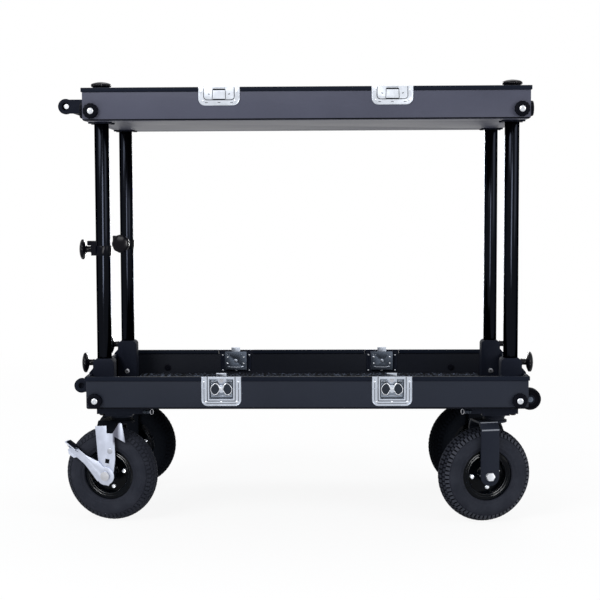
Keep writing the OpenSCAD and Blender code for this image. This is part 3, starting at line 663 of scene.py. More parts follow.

# dark band round the lower edge of each tray
darkBand = {"low": 0.4, "tall": 4.0, "proud": 0.45, "corner": 6.0, "thick": 1.6}
for level, body, base in (("lower", "base", tray["lowerZ"]), ("upper", "upper_tray", tray["upperZ"])):
    outX, outY = halfL / mm + darkBand["proud"], halfW / mm + darkBand["proud"]
    shape = bmesh.new()
    loops, inner = [], []
    for z in (base + darkBand["low"], base + darkBand["tall"]):
        drop = darkBand["corner"] - (z - base)
        squeeze = darkBand["corner"] - math.sqrt(max(0.0, darkBand["corner"] ** 2 - drop ** 2))
        row = [(sx * (outX - squeeze), sy * outY) for sx, sy in ((-1, -1), (1, -1), (1, 1), (-1, 1))]
        loops.append([shape.verts.new(spot(x, y, z)) for x, y in row])
        narrow = [(x * (1 - darkBand["thick"] / abs(x)), y * (1 - darkBand["thick"] / abs(y))) for x, y in row]
        inner.append([shape.verts.new(spot(x, y, z)) for x, y in narrow])
    for step in range(4):
        after = (step + 1) % 4
        shape.faces.new((loops[0][step], loops[0][after], loops[1][after], loops[1][step]))
        shape.faces.new((inner[0][after], inner[0][step], inner[1][step], inner[1][after]))
        shape.faces.new((loops[1][step], loops[1][after], inner[1][after], inner[1][step]))
        shape.faces.new((inner[0][step], inner[0][after], loops[0][after], loops[0][step]))
    madePiece(level + "_tray_hem", meshFrom(shape, "darkBand"), body, (finishes["bandAndShadePaint"],))
print("trays dressed")


# lower liner: open foam with rows of peaks, cut out round the corner sockets
liner = {
    "step": 4.4, "pitch": 17.6, "depth": 6.0, "seed": 3.0, "inset": 1.0, "skin": 1.0,
    "cutX": 504.5, "cutY": 201.0,
}
padLow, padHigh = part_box("lower_pad")
shape = bmesh.new()
countX = round((padHigh.x - padLow.x) / mm / liner["step"])
countY = round((padHigh.y - padLow.y) / mm / liner["step"])
grid = {}


def padVertex(i, j, level):
    if (i, j, level) not in grid:
        x = padLow.x + (padHigh.x - padLow.x) * i / countX
        y = padLow.y + (padHigh.y - padLow.y) * j / countY
        edge = liner["inset"] * mm
        x = min(max(x, padLow.x + edge), padHigh.x - edge)
        y = min(max(y, padLow.y + edge), padHigh.y - edge)
        grid[i, j, level] = shape.verts.new((x, y, padHigh.z if level else padLow.z))
    return grid[i, j, level]


def inPad(i, j):
    x = padLow.x + (padHigh.x - padLow.x) * (i + 0.5) / countX - midX
    y = padLow.y + (padHigh.y - padLow.y) * (j + 0.5) / countY
    cut = abs(x) > liner["cutX"] * mm and abs(y) > liner["cutY"] * mm
    return 0 <= i < countX and 0 <= j < countY and not cut


# the four sides of a cell: the way to the neighbour, and the ends of the edge between them
cellSides = ((-1, 0, (0, 1), (0, 0)), (1, 0, (1, 0), (1, 1)), (0, -1, (0, 0), (1, 0)), (0, 1, (1, 1), (0, 1)))
for i in range(countX):
    for j in range(countY):
        if not inPad(i, j):
            continue
        for level in (0, 1):
            corner = [padVertex(i + a, j + b, level) for a, b in ((0, 0), (1, 0), (1, 1), (0, 1))]
            shape.faces.new(corner if level else corner[::-1])
        for di, dj, a, b in cellSides:
            if not inPad(i + di, j + dj):
                first, second = (i + a[0], j + a[1]), (i + b[0], j + b[1])
                ends = ((*first, 0), (*second, 0), (*second, 1), (*first, 1))
                shape.faces.new([padVertex(*end) for end in ends])
base = meshFrom(shape, "liner")
grownPad = peaks.grow(
    "liner", base, finishes["linerFoam"], Top=padHigh.z - liner["skin"] * mm,
    Pitch=liner["pitch"] * mm, Depth=liner["depth"] * mm, Seed=liner["seed"],
)
pad = madePiece("foam_liner", grownPad, "base", (), ("lower_pad",), 0)
print("liner made:", len(grownPad.polygons), "faces")


# sockets, posts and collars; a bolt with a driven recess stands inside each base socket's inner face
crossHead = {"x": 534.5, "z": 343.0, "reach": 7.4, "inner": 204.2, "face": 201.2, "drive": 2.6, "rise": 0.4}


def isCrossHead(place):
    away = math.hypot(abs(place.x - midX) - crossHead["x"] * mm, place.z - crossHead["z"] * mm)
    return abs(place.y) < crossHead["inner"] * mm and away < crossHead["reach"] * mm


dressedCopy("base_sockets", (finishes["bracketPaint"], finishes["ringSteel"]), 1.0, 2, isCrossHead)
# each bolt's drive recess is a low near-black dome: painted shade
drives = []
for sideX, sideY in corners.values():
    drive = pointMesh([spot(sideX * crossHead["x"], sideY * crossHead["face"], crossHead["z"])])
    drives.append(domes.grow(
        "drive", drive, finishes["bandAndShadePaint"],
        Radius=crossHead["drive"] * mm, Height=crossHead["rise"] * mm, Facing=topTowards[-sideY],
    ))
madePiece("base_sockets_drives", joinedMesh("socket_drives", drives), bodyOf["base_sockets"], (), (), 60)
dressedCopy("upper_sockets", (finishes["bracketPaint"],), 1.0)
dressedCopy("posts", (finishes["postEnamel"],), 0.5)
for collar in ("collar_front", "collar_rear"):
    dressedCopy(collar, (finishes["collarEnamel"],), 1.2)

# clamp knobs: a fluted lens on a straight stem, with its stud sunk in the piece that it clamps
knobLook = {
    "flutes": 9, "fluteDepth": 0.06, "gripFrom": 19.0, "disc": 26.6, "foot": 14.0, "thick": 18.0, "edge": 7.0,
    "stud": 3.9, "washer": 8.8, "stem": 8.0, "neck": 9.5, "steps": 9, "sunk": 6.0, "collarSunk": 7.6,
}


def knobPiece(node, joint):
    data = joints[joint]
    centre, axis = Vector(data["pos_m"]), Vector(data["axis"])
    low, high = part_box(node)
    corner = Vector([low[i] if axis[i] > 0 else high[i] for i in range(3)])
    onCollar = abs(axis.z) <= 0.5 and abs(axis.x) <= 0.99  # only the collars' knobs point aslant
    reach = abs(axis.dot(centre - corner)) / mm
    studEnd = -knobLook["collarSunk"] if onCollar else min(-knobLook["sunk"], -reach)
    disc, foot, thick, edge = knobLook["disc"], knobLook["foot"], knobLook["thick"], knobLook["edge"]
    stud, washer, stem, neck = knobLook["stud"], knobLook["washer"], knobLook["stem"], knobLook["neck"]
    middle = foot + thick / 2
    outline = [(0, studEnd), (stud, studEnd), (stud, 0), (washer, 0.05), (washer, 3.0), (stem, 4.2)]
    outline += [(stem, foot - 1.6), (neck, foot + 0.2)]
    for step in range(1, knobLook["steps"] + 1):  # under side of the lens
        share = step / knobLook["steps"]
        swell = (thick / 2 - edge / 2 - 0.6) * math.cos(math.pi / 2 * share) ** 1.2
        outline.append((neck + (disc - 1.2 - neck) * share, middle - edge / 2 - swell))
    outline += [(disc - 0.2, middle - edge / 2 + 1.0), (disc, middle), (disc - 0.2, middle + edge / 2 - 1.0)]
    for step in range(knobLook["steps"], 0, -1):  # crown
        share = step / knobLook["steps"]
        swell = (thick / 2 - edge / 2) * math.cos(math.pi / 2 * share) ** 0.7
        outline.append(((disc - 1.2) * share, middle + edge / 2 + swell))
    outline.append((0, middle + thick / 2))

    def fluted(radius, angle):
        grip = max(0.0, (radius - knobLook["gripFrom"]) / (disc - knobLook["gripFrom"]))
        return 1 - knobLook["fluteDepth"] * grip * (1 - abs(math.cos(angle * knobLook["flutes"] / 2)) ** 0.7)

    shape = turnedShape(outline, centre, axis, 120, False, fluted)
    madePiece(node + "_moulded", meshFrom(shape, node), bodyOf[node], (finishes["knobPlastic"],), (node,), 40)


for code in corners:
    knobPiece("base_knob_" + code, "base_knob_%s_turn" % code)
    knobPiece("top_knob_" + code, "top_knob_%s_turn" % code)
for end in ("front", "rear"):
    knobPiece("collar_knob_" + end, "collar_knob_%s_turn" % end)
print("posts and knobs dressed")


# bumpers: lobed rubber rounds with a screw in a shallow recess
bumperLook = {
    "radius": 20.0, "thick": 10.0, "lobes": 12, "lobeDepth": 0.085, "recess": 9.4, "dip": 1.2, "inset": 34.0,
    "lowerUp": 21.0, "upperUp": 25.0, "endUp": 27.0, "endInset": 30.0,
}
screwLook = {"radius": 8.0, "rise": 3.0, "socket": 2.6, "sunk": 2.0}
stopLook = {
    "x": 427.0, "up": 31.0, "sunk": 3.0,
    "outline": [(0, 0), (9, 0), (9, 4.2), (7.6, 5.6), (3.4, 6.0), (2.6, 4.6), (0, 4.6)],
}


def bumperShape(centre, axis):
    thick, radius, recess = bumperLook["thick"], bumperLook["radius"], bumperLook["recess"]
    seat = thick - bumperLook["dip"]
    outline = [(0, 0), (radius - 0.6, 0), (radius, 0.8), (radius, thick - 3.2), (radius - 1.0, thick - 1.2)]
    outline += [(radius - 3.0, thick), (recess + 1.0, thick), (recess, seat), (0, seat)]

    def lobed(reach, angle):
        if reach <= radius - 4:
            return 1.0
        return 1 - bumperLook["lobeDepth"] * (1 - abs(math.cos(angle * bumperLook["lobes"] / 2)))

    return turnedShape(outline, centre, axis, 96, False, lobed)


def screwShape(centre, axis):
    radius, rise, socket, sunk = (screwLook[key] for key in ("radius", "rise", "socket", "sunk"))
    outline = [(0, -sunk), (radius, -sunk), (radius, rise * 0.35), (radius * 0.86, rise * 0.8)]
    outline += [(radius * 0.62, rise), (socket, rise), (socket, rise * 0.3), (0, rise * 0.3)]
    return turnedShape(outline, centre, axis, 40)


bumperSpots = {"lower_bumpers": [], "upper_bumpers": []}
bumperX = (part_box("upper_bumpers")[1].x - midX) / mm - bumperLook["inset"]
for sideX in (-1, 1):
    for sideY in (-1, 1):
        wall, x = sideY * halfW / mm, sideX * bumperX
        outward, endward = Vector((0, sideY, 0)), Vector((sideX, 0, 0))
        endX, endY = sideX * halfL / mm, wall - sideY * bumperLook["endInset"]
        low = spot(x, wall, tray["lowerZ"] + bumperLook["lowerUp"])
        high = spot(x, wall, tray["upperZ"] + bumperLook["upperUp"])
        ended = spot(endX, endY, tray["upperZ"] + bumperLook["endUp"])
        bumperSpots["lower_bumpers"].append((low, outward))
        bumperSpots["upper_bumpers"] += [(high, outward), (ended, endward)]
for node, places in bumperSpots.items():
    rubberParts, screwParts = [], []
    for centre, axis in places:
        rubberParts.append(meshFrom(bumperShape(centre, axis), node))
        seat = centre + axis * (bumperLook["thick"] - bumperLook["dip"]) * mm
        screwParts.append(meshFrom(screwShape(seat, axis), node))
    if node == "lower_bumpers":  # with the two stops inside the rear wall
        for sideX in (-1, 1):
            stopY, stopZ = halfW / mm - stopLook["sunk"], tray["lowerZ"] + stopLook["up"]
            place = spot(sideX * stopLook["x"], stopY, stopZ)
            stop = turnedShape(stopLook["outline"], place, (0, -1, 0), 40)
            rubberParts.append(meshFrom(stop, "stop"))
    for part in rubberParts:
        part.materials.append(finishes["bumperRubber"])
    for part in screwParts:
        part.materials.append(finishes["boltSteel"])
    madePiece(node + "_moulded", joinedMesh(node, rubberParts + screwParts), bodyOf[node], (), (node,), 38)

# end brackets with the rollers' pins, and the push bar with plugs in its arms' ends
rollerLook = {"radius": 28.5, "half": 12.0, "bore": 4.2, "pinFace": 290.4, "pinRadius": 7.3}
handleLook = {
    "postRadius": 19.05, "armHalf": 6.0, "plugAway": 54.8,
    "plug": [(0, -7), (7.2, -7), (7.2, -3.4), (6.0, -2.2), (0, -1.8)],
}
rollerPin = joints["end_roller_front_spin"]["pos_m"]


def isPinHead(place):
    away = math.hypot(place.x - rollerPin[0], place.z - rollerPin[2])
    return abs(place.y) > rollerLook["pinFace"] * mm and away < rollerLook["pinRadius"] * mm


dressedCopy("end_brackets", (finishes["bracketPaint"], finishes["backPlate"]), 1.0, 2, isPinHead)
dressedCopy("push_handle", (finishes["bracketPaint"],), 1.2, 3)
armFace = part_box("posts")[1].y / mm - handleLook["postRadius"] + handleLook["armHalf"]
handleLow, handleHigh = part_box("push_handle")
plugs = []
for sideY in (-1, 1):
    plugX = -halfL / mm - handleLook["plugAway"]
    centre = spot(plugX, sideY * armFace, (handleLow.z + handleHigh.z) / 2 / mm)
    plug = meshFrom(turnedShape(handleLook["plug"], centre, (0, sideY, 0), 36), "plug")
    plug.materials.append(finishes["boltSteel"])
    plugs.append(plug)
madePiece("handle_end_plugs", joinedMesh("handle_end_plugs", plugs), bodyOf["push_handle"], (), (), 38)
for end in ("front", "rear"):
    reach, half, bore = rollerLook["radius"], rollerLook["half"], rollerLook["bore"]
    face = [(11, half), (12, half - 2), (21, half - 2), (22, half), (reach - 3, half), (reach, half - 3.5)]
    outline = [(bore, -half)] + [(out, -along) for out, along in face] + face[::-1] + [(bore, half)]
    shape = turnedShape(outline, Vector(joints["end_roller_%s_spin" % end]["pos_m"]), (0, 1, 0), 96, True)
    madePiece(
        "end_roller_%s_turned" % end, meshFrom(shape, "roller"), "end_roller_" + end,
        (finishes["bumperRubber"],), ("end_roller_" + end,), 30,
    )
print("bumpers and end fittings dressed")


# latches and catches
latch = {
    "x": 220.0, "plateUp": 84.0, "recessFrom": 4.5, "backingFrom": 5.2, "paintedFrom": 8.0, "drum": 10.4,
    "petalRim": 0.95, "petalLow": -3.2, "petalHigh": 0.2, "petalCrown": 0.5, "spoke": 1.7, "hub": 4.2,
    "hubRise": 1.2, "hubDeep": 1.2,
}
dishTop = tray["lowerZ"] + latch["plateUp"]
catchTop = tray["upperZ"] + latch["plateUp"]
recessBack = min(abs(vertex.co.y) for vertex in cartNodes["latch_dishes"].data.vertices) / mm - halfW / mm

# trim of the plates, measured from the middle of a plate's top edge
# frames: finish, proud of the wall, half width, from and down to, radius, corner
# lines: finish, proud of the wall, path, radius, corner, drawn on both sides or not
# rivets: proud of the wall, places, radius, rise, and 1 to face outwards
# the shadow-line paint lays painted shade along joints, grooves and gaps
dishLook = {
    "frames": [
        ("latchPlate", 1.5, 50.2, -2, -74.6, 1.0, 15),  # rolled outer edge
        ("shadowLinePaint", 0.95, 44.6, -8, -69.5, 0.9, 11),  # pressed line
        ("shadowLinePaint", 1.5, 35.9, -1, -62.9, 1.1, 2),  # joint round the frame
        ("shadowLinePaint", -12.5, 29, -10, -56.4, 1.0, 3),  # joint round the recess's floor
    ],
    "lines": [
        ("latchPlate", 1.5, ((38.5, -31), (49, -31)), 1.2, 0.5, True),  # ridges beside the frame
        ("shadowLinePaint", -12.5, ((15, -17.5), (27, -17.5)), 0.9, 0.5, True),  # gutters below the shelf
        ("latchPlate", -12.1, ((-24, -49), (-15, -51.5), (15, -51.5), (24, -49)), 2.2, 6, False),  # rib
    ],
    "rivets": [
        (1.5, ((-45, -13), (45, -13), (-40, -65.5), (0, -65.5), (40, -65.5)), 3.0, 1.5, 1),
        (-12.5, ((-25.5, -13), (-18.5, -13), (18.5, -13), (25.5, -13)), 2.2, 1.6, 1),  # on the shelf
        (recessBack, ((-24, -21.5), (-24, -40.5), (24, -21.5), (24, -40.5)), 2.8, 1.3, -1),  # on the backing
    ],
}
catchLook = {
    "frames": [
        ("catchPlate", 2, 51.4, -2, -45.9, 0.9, 16),  # rolled edge
        ("shadowLinePaint", 2, 38.9, -1, -32.8, 1.0, 9),  # joint round the raised plate
    ],
    "lines": [
        ("shadowLinePaint", 4, ((16, -6.5), (17.2, -31)), 0.75, 0.5, True),  # the keeper's sides and foot
        ("shadowLinePaint", 4, ((-16, -31.2), (16, -31.2)), 0.8, 0.5, False),
        ("shadowLinePaint", 4, ((24, -19), (28, -17.4)), 1.0, 0.5, True),  # bars beside the keeper
        ("shadowLinePaint", 1.7, ((28.5, -39.6), (35.5, -39.6)), 0.8, 0.5, True),  # three dashes below
        ("shadowLinePaint", 1.7, ((-3.5, -39.6), (3.5, -39.6)), 0.8, 0.5, False),
    ],
    "rivets": [(2, ((-45.2, -12), (45.2, -12), (-41, -35), (41, -35)), 2.7, 1.2, 1)],
    "slot": [(-15.6, -1.8), (15.6, -1.8), (15.6, 1.8), (-15.6, 1.8)],
    "slotDown": 6.6, "slotFaces": (2.6, 4.35),
}
dishLines = {"latchPlate": [], "shadowLinePaint": [], "boltSteel": []}
catchLines = {"catchPlate": [], "shadowLinePaint": [], "boltSteel": [], "bandAndShadePaint": []}


def wallMatrix(place, side, mirrored=1):  # x along the wall, y up and z out of it
    turned = Matrix(((mirrored, 0, 0), (0, 0, 1), (0, side, 0))).transposed().to_4x4()
    return Matrix.Translation(place) @ turned


def trimPlate(store, look, side, x, top):
    def lineOn(kind, proud, path, radius, corner, sign=1):
        base = openPath([spot(x + sign * dx, side * (halfW / mm + proud), top + dz) for dx, dz in path])
        store[kind].append(beads.grow("line", base, finishes[kind], Radius=radius * mm, Corner=corner * mm))

    for kind, proud, half, high, low, radius, corner in look["frames"]:
        lineOn(kind, proud, ((-half, high), (-half, low), (half, low), (half, high)), radius, corner)
    for kind, proud, path, radius, corner, paired in look["lines"]:
        for sign in (-1, 1) if paired else (1,):
            lineOn(kind, proud, path, radius, corner, sign)
    for proud, places, radius, rise, outward in look["rivets"]:
        heads = pointMesh([spot(x + dx, side * (halfW / mm + proud), top + dz) for dx, dz in places])
        store["boltSteel"].append(domes.grow(
            "heads", heads, finishes["boltSteel"],
            Radius=radius * mm, Height=rise * mm, Facing=topTowards[side * outward],
        ))


for side in (-1, 1):
    for sideX in (-1, 1):
        x = sideX * latch["x"]
        trimPlate(dishLines, dishLook, side, x, dishTop)
        trimPlate(catchLines, catchLook, side, x, catchTop)
        # the keeper slot is a near-black sheet: painted shade in the slot
        slotFrame = wallMatrix(spot(x, side * halfW / mm, catchTop - catchLook["slotDown"]), side)
        low, high = catchLook["slotFaces"]
        slot = prismMesh(catchLook["slot"], low, high, slotFrame, finishes["bandAndShadePaint"])
        catchLines["bandAndShadePaint"].append(slot)

endings = {
    "latchPlate": "_edges", "catchPlate": "_edges", "shadowLinePaint": "_joints", "boltSteel": "_rivets",
    "bandAndShadePaint": "_slots",
}
for label, store, body in (("latch_dish", dishLines, "base"), ("catch_plate", catchLines, "upper_tray")):
    for kind, made in store.items():
        name = label + endings[kind]
        madePiece(name, joinedMesh(name, made), body, (), (), 60)


# the dish's recess takes a darker plate than its flange: painted shade in the recess
def inRecess(place):
    return abs(place.y) < halfW - latch["recessFrom"] * mm


def isBackingRivet(place):
    return abs(place.y) < halfW - latch["backingFrom"] * mm


dishFinishes = [finishes[key] for key in ("latchPlate", "shadedPanPlate", "bracketPaint", "backPlate")]
dishes = dressedCopy("latch_dishes", dishFinishes, 0.6, 2, inRecess)
# the backs of the flanges get the dark bracket paint, and the recess's upper wall gets it as painted shade;
# the backs of the recesses get the duller back plate
for face in dishes.data.polygons:
    inward = face.normal.y * face.center.y < -0.5 * abs(face.center.y)
    deep = inRecess(face.center)
    if inward or (deep and face.center.z > (dishTop - latch["paintedFrom"]) * mm):
        face.material_index = 3 if inward and deep else 2
dressedCopy("catch_plates", (finishes["catchPlate"],), 0.5)
dressedCopy("latch_backings", (finishes["bracketPaint"], finishes["boltSteel"]), 0.3, 2, isBackingRivet)

# butterfly wings: dark petals with bright rims on a bright drum, and bright bars along the petals' inner top
# edges as painted highlights; a flush rivet holds each hook
petal = [
    (3.8, 1.0), (7.0, 9.5), (12.5, 14.5), (19.0, 13.0), (24.5, 7.5), (27.5, 0.5), (26.6, -7.0), (22.5, -12.8),
    (16.5, -14.8), (12.0, -14.0), (7.5, -8.5), (4.8, -3.5),
]
hookLook = {"rivet": 5.5, "rise": 0.25, "deep": 9.9, "up": 9.5}
for code, (sideX, sideY) in corners.items():
    turn = topTowards[sideY]
    centre = Vector(joints["latch_wing_%s_turn" % code]["pos_m"])

    def isDrum(place, centre=centre):
        return math.hypot(place.x - centre.x, place.z - centre.z) < latch["drum"] * mm

    dressedCopy("latch_wing_" + code, (finishes["wingPlate"], finishes["latchPlate"]), 0.7, 2, isDrum)
    rims = []
    for sign in (-1, 1):
        leaf = wallMatrix((centre.x, sideY * halfW, centre.z), sideY, sign)
        low, high, crown = latch["petalLow"], latch["petalHigh"], latch["petalCrown"]
        rims.append(prismMesh(petal, low, high, leaf, finishes["wingPlate"], crown))
        border = [leaf @ Vector((dx * mm, dz * mm, high * mm)) for dx, dz in petal]
        for label, base, tube in (
            ("rim", pointMesh(border, closedLinks(len(petal))), latch["petalRim"]),
            ("spoke", openPath(border[:3]), latch["spoke"]),
        ):
            rims.append(beads.grow(label, base, finishes["boltSteel"], Radius=tube * mm, Corner=1.5 * mm))
    across = (centre.x - midX) / mm
    hub = pointMesh([spot(across, sideY * (halfW / mm - latch["hubDeep"]), centre.z / mm)])
    rims.append(domes.grow(
        "hub", hub, finishes["boltSteel"],
        Radius=latch["hub"] * mm, Height=latch["hubRise"] * mm, Facing=turn,
    ))
    madePiece("latch_wing_%s_rims" % code, joinedMesh("wing_rims", rims), "latch_wing_" + code, (), (), 60)
    dressedCopy("latch_hook_" + code, (finishes["latchPlate"],), 0.4)
    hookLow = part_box("latch_hook_" + code)[0].z / mm
    front = pointMesh([spot(across, sideY * (halfW / mm - hookLook["deep"]), hookLow + hookLook["up"])])
    rivet = joinedMesh("hook_rivet", [domes.grow(
        "rivet", front, finishes["ringSteel"],
        Radius=hookLook["rivet"] * mm, Height=hookLook["rise"] * mm, Facing=turn,
    )])
    madePiece("latch_hook_%s_rivet" % code, rivet, "latch_hook_" + code, (), (), 60)
print("latches dressed")


# casters
wheelLook = {
    "ring": 88.0, "section": 35.3, "wall": 36.9, "widest": 36.95, "grooveFrom": 107.0,
    "seat": [(67.4, 29.6), (67.3, 26.0), (66.4, 22.3), (59.3, 21.4)],  # from the sidewall to the rim
    "ridges": ((60, 3, -1.1), (78, 3, 0.35), (84, 3, 0.35), (104, 4, 0.6), (114, 3, -0.7)),  # at, width, rise
    "treadTo": 58, "rows": (0.0, 17.0, 34.0, 51.0), "shoulderFrom": 45, "lugs": 62, "lugSunk": 0.8,
    "lug": (0.0048, 0.0078, 0.0072), "shoulder": (0.0052, 0.0070, 0.0120),
}
boltLook = {"circle": 36.0, "reach": 5.9, "from": 4.9, "to": 11.5}
axleLook = {"head": 12.3, "face": 48.9}
lipLook = {"rolls": ((53.0, 3.4), (58.6, 2.2)), "seat": (53.5, 59.5), "proud": 0.6}  # reach and tube of each
brakeLook = {
    "plateColour": (0.55, 0.59, 0.70), "plateFace": 52.0,
    "leverFace": 55.3, "lean": 37, "pad": (106.5, 12.95),
    "weld": 7.4, "weldAt": (-12.5, 66.0), "hole": 11.5, "holeAt": (-5.0, 39.5), "holeTurn": 8.0,
    "flange": [(90, -8.0), (97, -16.5), (114, -17.0), (124, -8.5), (118, -4.0), (92, -4.0)],
    "lines": [
        ("bumperRubber", [(132, 14.4), (112, 14.6), (94, 13.4)], 2.2, 1.6),
        ("bumperRubber", [(94, 12.0), (76, 12.4), (60, 14.8), (43, 19.0)], 1.1, 1.6),
        # a painted shadow line along the lever's step
        ("shadowLinePaint", [(130, -1.5), (115, 1.2), (98, 3.6)], 0.7, 0.1),
    ],
}
plungerLook = {
    "outline": [
        (0, 0), (5.5, 0), (8.0, 1.4), (8.5, 4.0), (8.5, 7.5), (6.6, 9.4), (6.6, 10.6), (3.9, 10.6), (3.9, 20),
        (0, 20),
    ],
}


def wheelFrame(code):
    data = joints["wheel_%s_spin" % code]
    centre, axis = Vector(data["pos_m"]), Vector(data["axis"]).normalized()
    upward = Vector((0, 0, 1))
    along = upward.cross(axis).normalized()
    return centre, axis, Matrix.Translation(centre) @ Matrix((along, upward, axis)).transposed().to_4x4()


def swung(point, degrees):  # a flat point turned about the wheel's centre
    lean = math.radians(degrees)
    along, up = point
    return along * math.cos(lean) - up * math.sin(lean), along * math.sin(lean) + up * math.cos(lean)


def tyreOutline():
    ring, section, wall, widest = (wheelLook[key] for key in ("ring", "section", "wall", "widest"))
    sidewall = []
    for angle in range(-122, 123, 2):
        reach = section if abs(angle) < wheelLook["treadTo"] else wall
        for at, wide, rise in wheelLook["ridges"]:
            reach += rise * max(0.0, 1 - abs(abs(angle) - at) / wide)
        spread = math.radians(angle)
        aside = min(widest, max(-widest, reach * math.sin(spread)))
        sidewall.append((ring + reach * math.cos(spread), aside))
    return [(out, -aside) for out, aside in wheelLook["seat"][::-1]] + sidewall + wheelLook["seat"]


for code, (sideX, sideY) in corners.items():
    centre, axis, matrix = wheelFrame(code)
    toWheel = matrix.inverted()

    # tyre: a turned body with rows of tread blocks
    tyre = meshFrom(turnedShape(tyreOutline(), centre, axis, 144, True), "tyre")
    # the rear tyres get a darker rubber: painted shade under the trays
    plain = finishes["tyreRubber" if sideY < 0 else "shadedRearRubber"]
    for finish in (plain, finishes["grooveShadeRubber"]):
        tyre.materials.append(finish)
    # on the right tyres the body between the tread blocks gets a darker rubber: painted shade in the grooves
    for face in tyre.polygons:
        local = toWheel @ face.center
        grooved = math.hypot(local.x, local.y) > wheelLook["grooveFrom"] * mm and sideX > 0
        face.material_index = 1 if grooved else 0
    parts = [tyre]
    # the front right tyre's shoulder lugs get a lighter, glossier rubber: painted sheen
    for order, lean in enumerate(wheelLook["rows"]):
        onShoulder = lean > wheelLook["shoulderFrom"]
        for side in (1, -1) if lean else (1,):
            tilt = math.radians(lean) * side
            reach = wheelLook["section"] - (0.0 if onShoulder else wheelLook["lugSunk"])
            row = treads.grow(
                "tread", pointMesh([]), finishes["sheenLugRubber"] if onShoulder and sideY < 0 < sideX else plain,
                Count=wheelLook["lugs"], Tilt=-tilt, Block=wheelLook["shoulder" if onShoulder else "lug"],
                Ring=(wheelLook["ring"] + reach * math.cos(tilt)) * mm, Along=reach * math.sin(tilt) * mm,
                Phase=math.pi / wheelLook["lugs"] * ((order if side > 0 else order + 1) % 2),
            )
            row.transform(matrix)
            parts.append(row)
    treaded = joinedMesh("tyre_" + code, parts)
    madePiece("tyre_%s_treaded" % code, treaded, "wheel_" + code, (), ("tyre_" + code,), 32)

    def isWheelBolt(point, toWheel=toWheel):
        local = toWheel @ point
        across = math.hypot(local.x, local.y) / mm
        onCircle = abs(across - boltLook["circle"]) < boltLook["reach"]
        return onCircle and boltLook["from"] < abs(local.z) / mm < boltLook["to"]

    def isAxleHead(point, toWheel=toWheel):
        local = toWheel @ point
        return math.hypot(local.x, local.y) < axleLook["head"] * mm and abs(local.z) > axleLook["face"] * mm

    def isFootPad(point, toWheel=toWheel):
        local = toWheel @ point
        along, up = swung((local.x, local.y), -brakeLook["lean"])
        return along > brakeLook["pad"][0] * mm and up > brakeLook["pad"][1] * mm

    # rim and fork: bright bolts, and two rolled lips on each side of the rim
    # all forks but the front right one get the darkened coat: painted shade
    forkPaint = finishes["forkPaint" if sideY < 0 < sideX else "shadedForkPaint"]
    axleSteel = finishes["ringSteel" if sideX < 0 else "boltSteel"]
    dressedCopy("wheel_rim_" + code, (finishes["wheelEnamel"], finishes["boltSteel"]), 0.7, 2, isWheelBolt)
    dressedCopy("fork_" + code, (forkPaint, axleSteel), 1.3, 3, isAxleHead)
    seats = [toWheel @ vertex.co / mm for vertex in cartNodes["wheel_rim_" + code].data.vertices]
    seatLow, seatHigh = lipLook["seat"]
    lipZ = max(abs(point.z) for point in seats if seatLow < math.hypot(point.x, point.y) < seatHigh)
    lips = []
    for face in (-1, 1):
        for reach, tube in lipLook["rolls"]:
            turns = [math.pi * step / 7 for step in range(14)]
            seat = face * (lipZ - tube + lipLook["proud"])
            roll = [(reach + tube * math.cos(turn), seat + tube * math.sin(turn)) for turn in turns]
            lips.append(meshFrom(turnedShape(roll, centre, axis, 96, True), "lip"))
            lips[-1].materials.append(finishes["wheelEnamel"])
    madePiece("wheel_rim_%s_lips" % code, joinedMesh("rim_lips", lips), "wheel_" + code, (), (), 60)

    # brake on the left casters: plate with a weld and a square hole, lever with a flange and a pad
    if sideX < 0:
        aside = -matrix.to_3x3().col[0]
        plateFinish = gussetShadedPlate("faded brake plate " + code, brakeLook["plateColour"], centre, aside)
        leverFinishes = (finishes["brakePlate"], finishes["bumperRubber"])
        dressedCopy("brake_plate_" + code, (plateFinish,), 0.6)
        dressedCopy("brake_lever_" + code, leverFinishes, 0.6, 2, isFootPad)
        outward = math.copysign(1, (toWheel @ cartNodes["brake_plate_" + code].data.vertices[0].co).z)
        face = outward * brakeLook["plateFace"]
        weldAt = pointMesh([Vector((*brakeLook["weldAt"], face)) * mm])
        weld = domes.grow(
            "weld", weldAt, finishes["weldSteel"],
            Radius=brakeLook["weld"] * mm, Height=0.9 * mm, Facing=(0, 0, 0),
        )
        weld.transform(matrix)
        # the square hole is a near-black sheet on the plate: painted shade in the hole
        half = brakeLook["hole"] / 2
        holeX, holeY = brakeLook["holeAt"]
        upright = ((-half, -half), (half, -half), (half, half), (-half, half))
        turned = [swung(point, brakeLook["holeTurn"]) for point in upright]
        square = [(holeX + along, holeY + up) for along, up in turned]
        hole = prismMesh(square, face - 0.5 * outward, face + 0.15 * outward, matrix, finishes["bandAndShadePaint"])
        marks = joinedMesh("brake_marks", [weld, hole])
        madePiece("brake_plate_%s_marks" % code, marks, "fork_" + code, (), (), 38)
        outer = outward * brakeLook["leverFace"]
        flange = [swung(point, brakeLook["lean"]) for point in brakeLook["flange"]]
        inFace, outFace = outer - 2.6 * outward, outer - 0.2 * outward
        extras = [prismMesh(flange, inFace, outFace, matrix, finishes["brakePlate"])]
        for kind, path, radius, sunk in brakeLook["lines"]:
            flat = [swung(point, brakeLook["lean"]) for point in path]
            depth = outer - outward * sunk
            base = openPath([matrix @ (Vector((along, up, depth)) * mm) for along, up in flat])
            extras.append(beads.grow("line", base, finishes[kind], Radius=radius * mm, Corner=2 * mm))
        edges = joinedMesh("lever_edges", extras)
        madePiece("brake_lever_%s_edges" % code, edges, "brake_lever_" + code, (), (), 38)

    # pull plunger
    low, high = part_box("plunger_" + code)
    foot = Vector(((low.x + high.x) / 2, (low.y + high.y) / 2, low.z))
    plunger = meshFrom(turnedShape(plungerLook["outline"], foot, (0, 0, 1), 48), "plunger")
    madePiece(
        "plunger_%s_turned" % code, plunger, "plunger_" + code,
        (finishes["knobPlastic"],), ("plunger_" + code,), 32,
    )
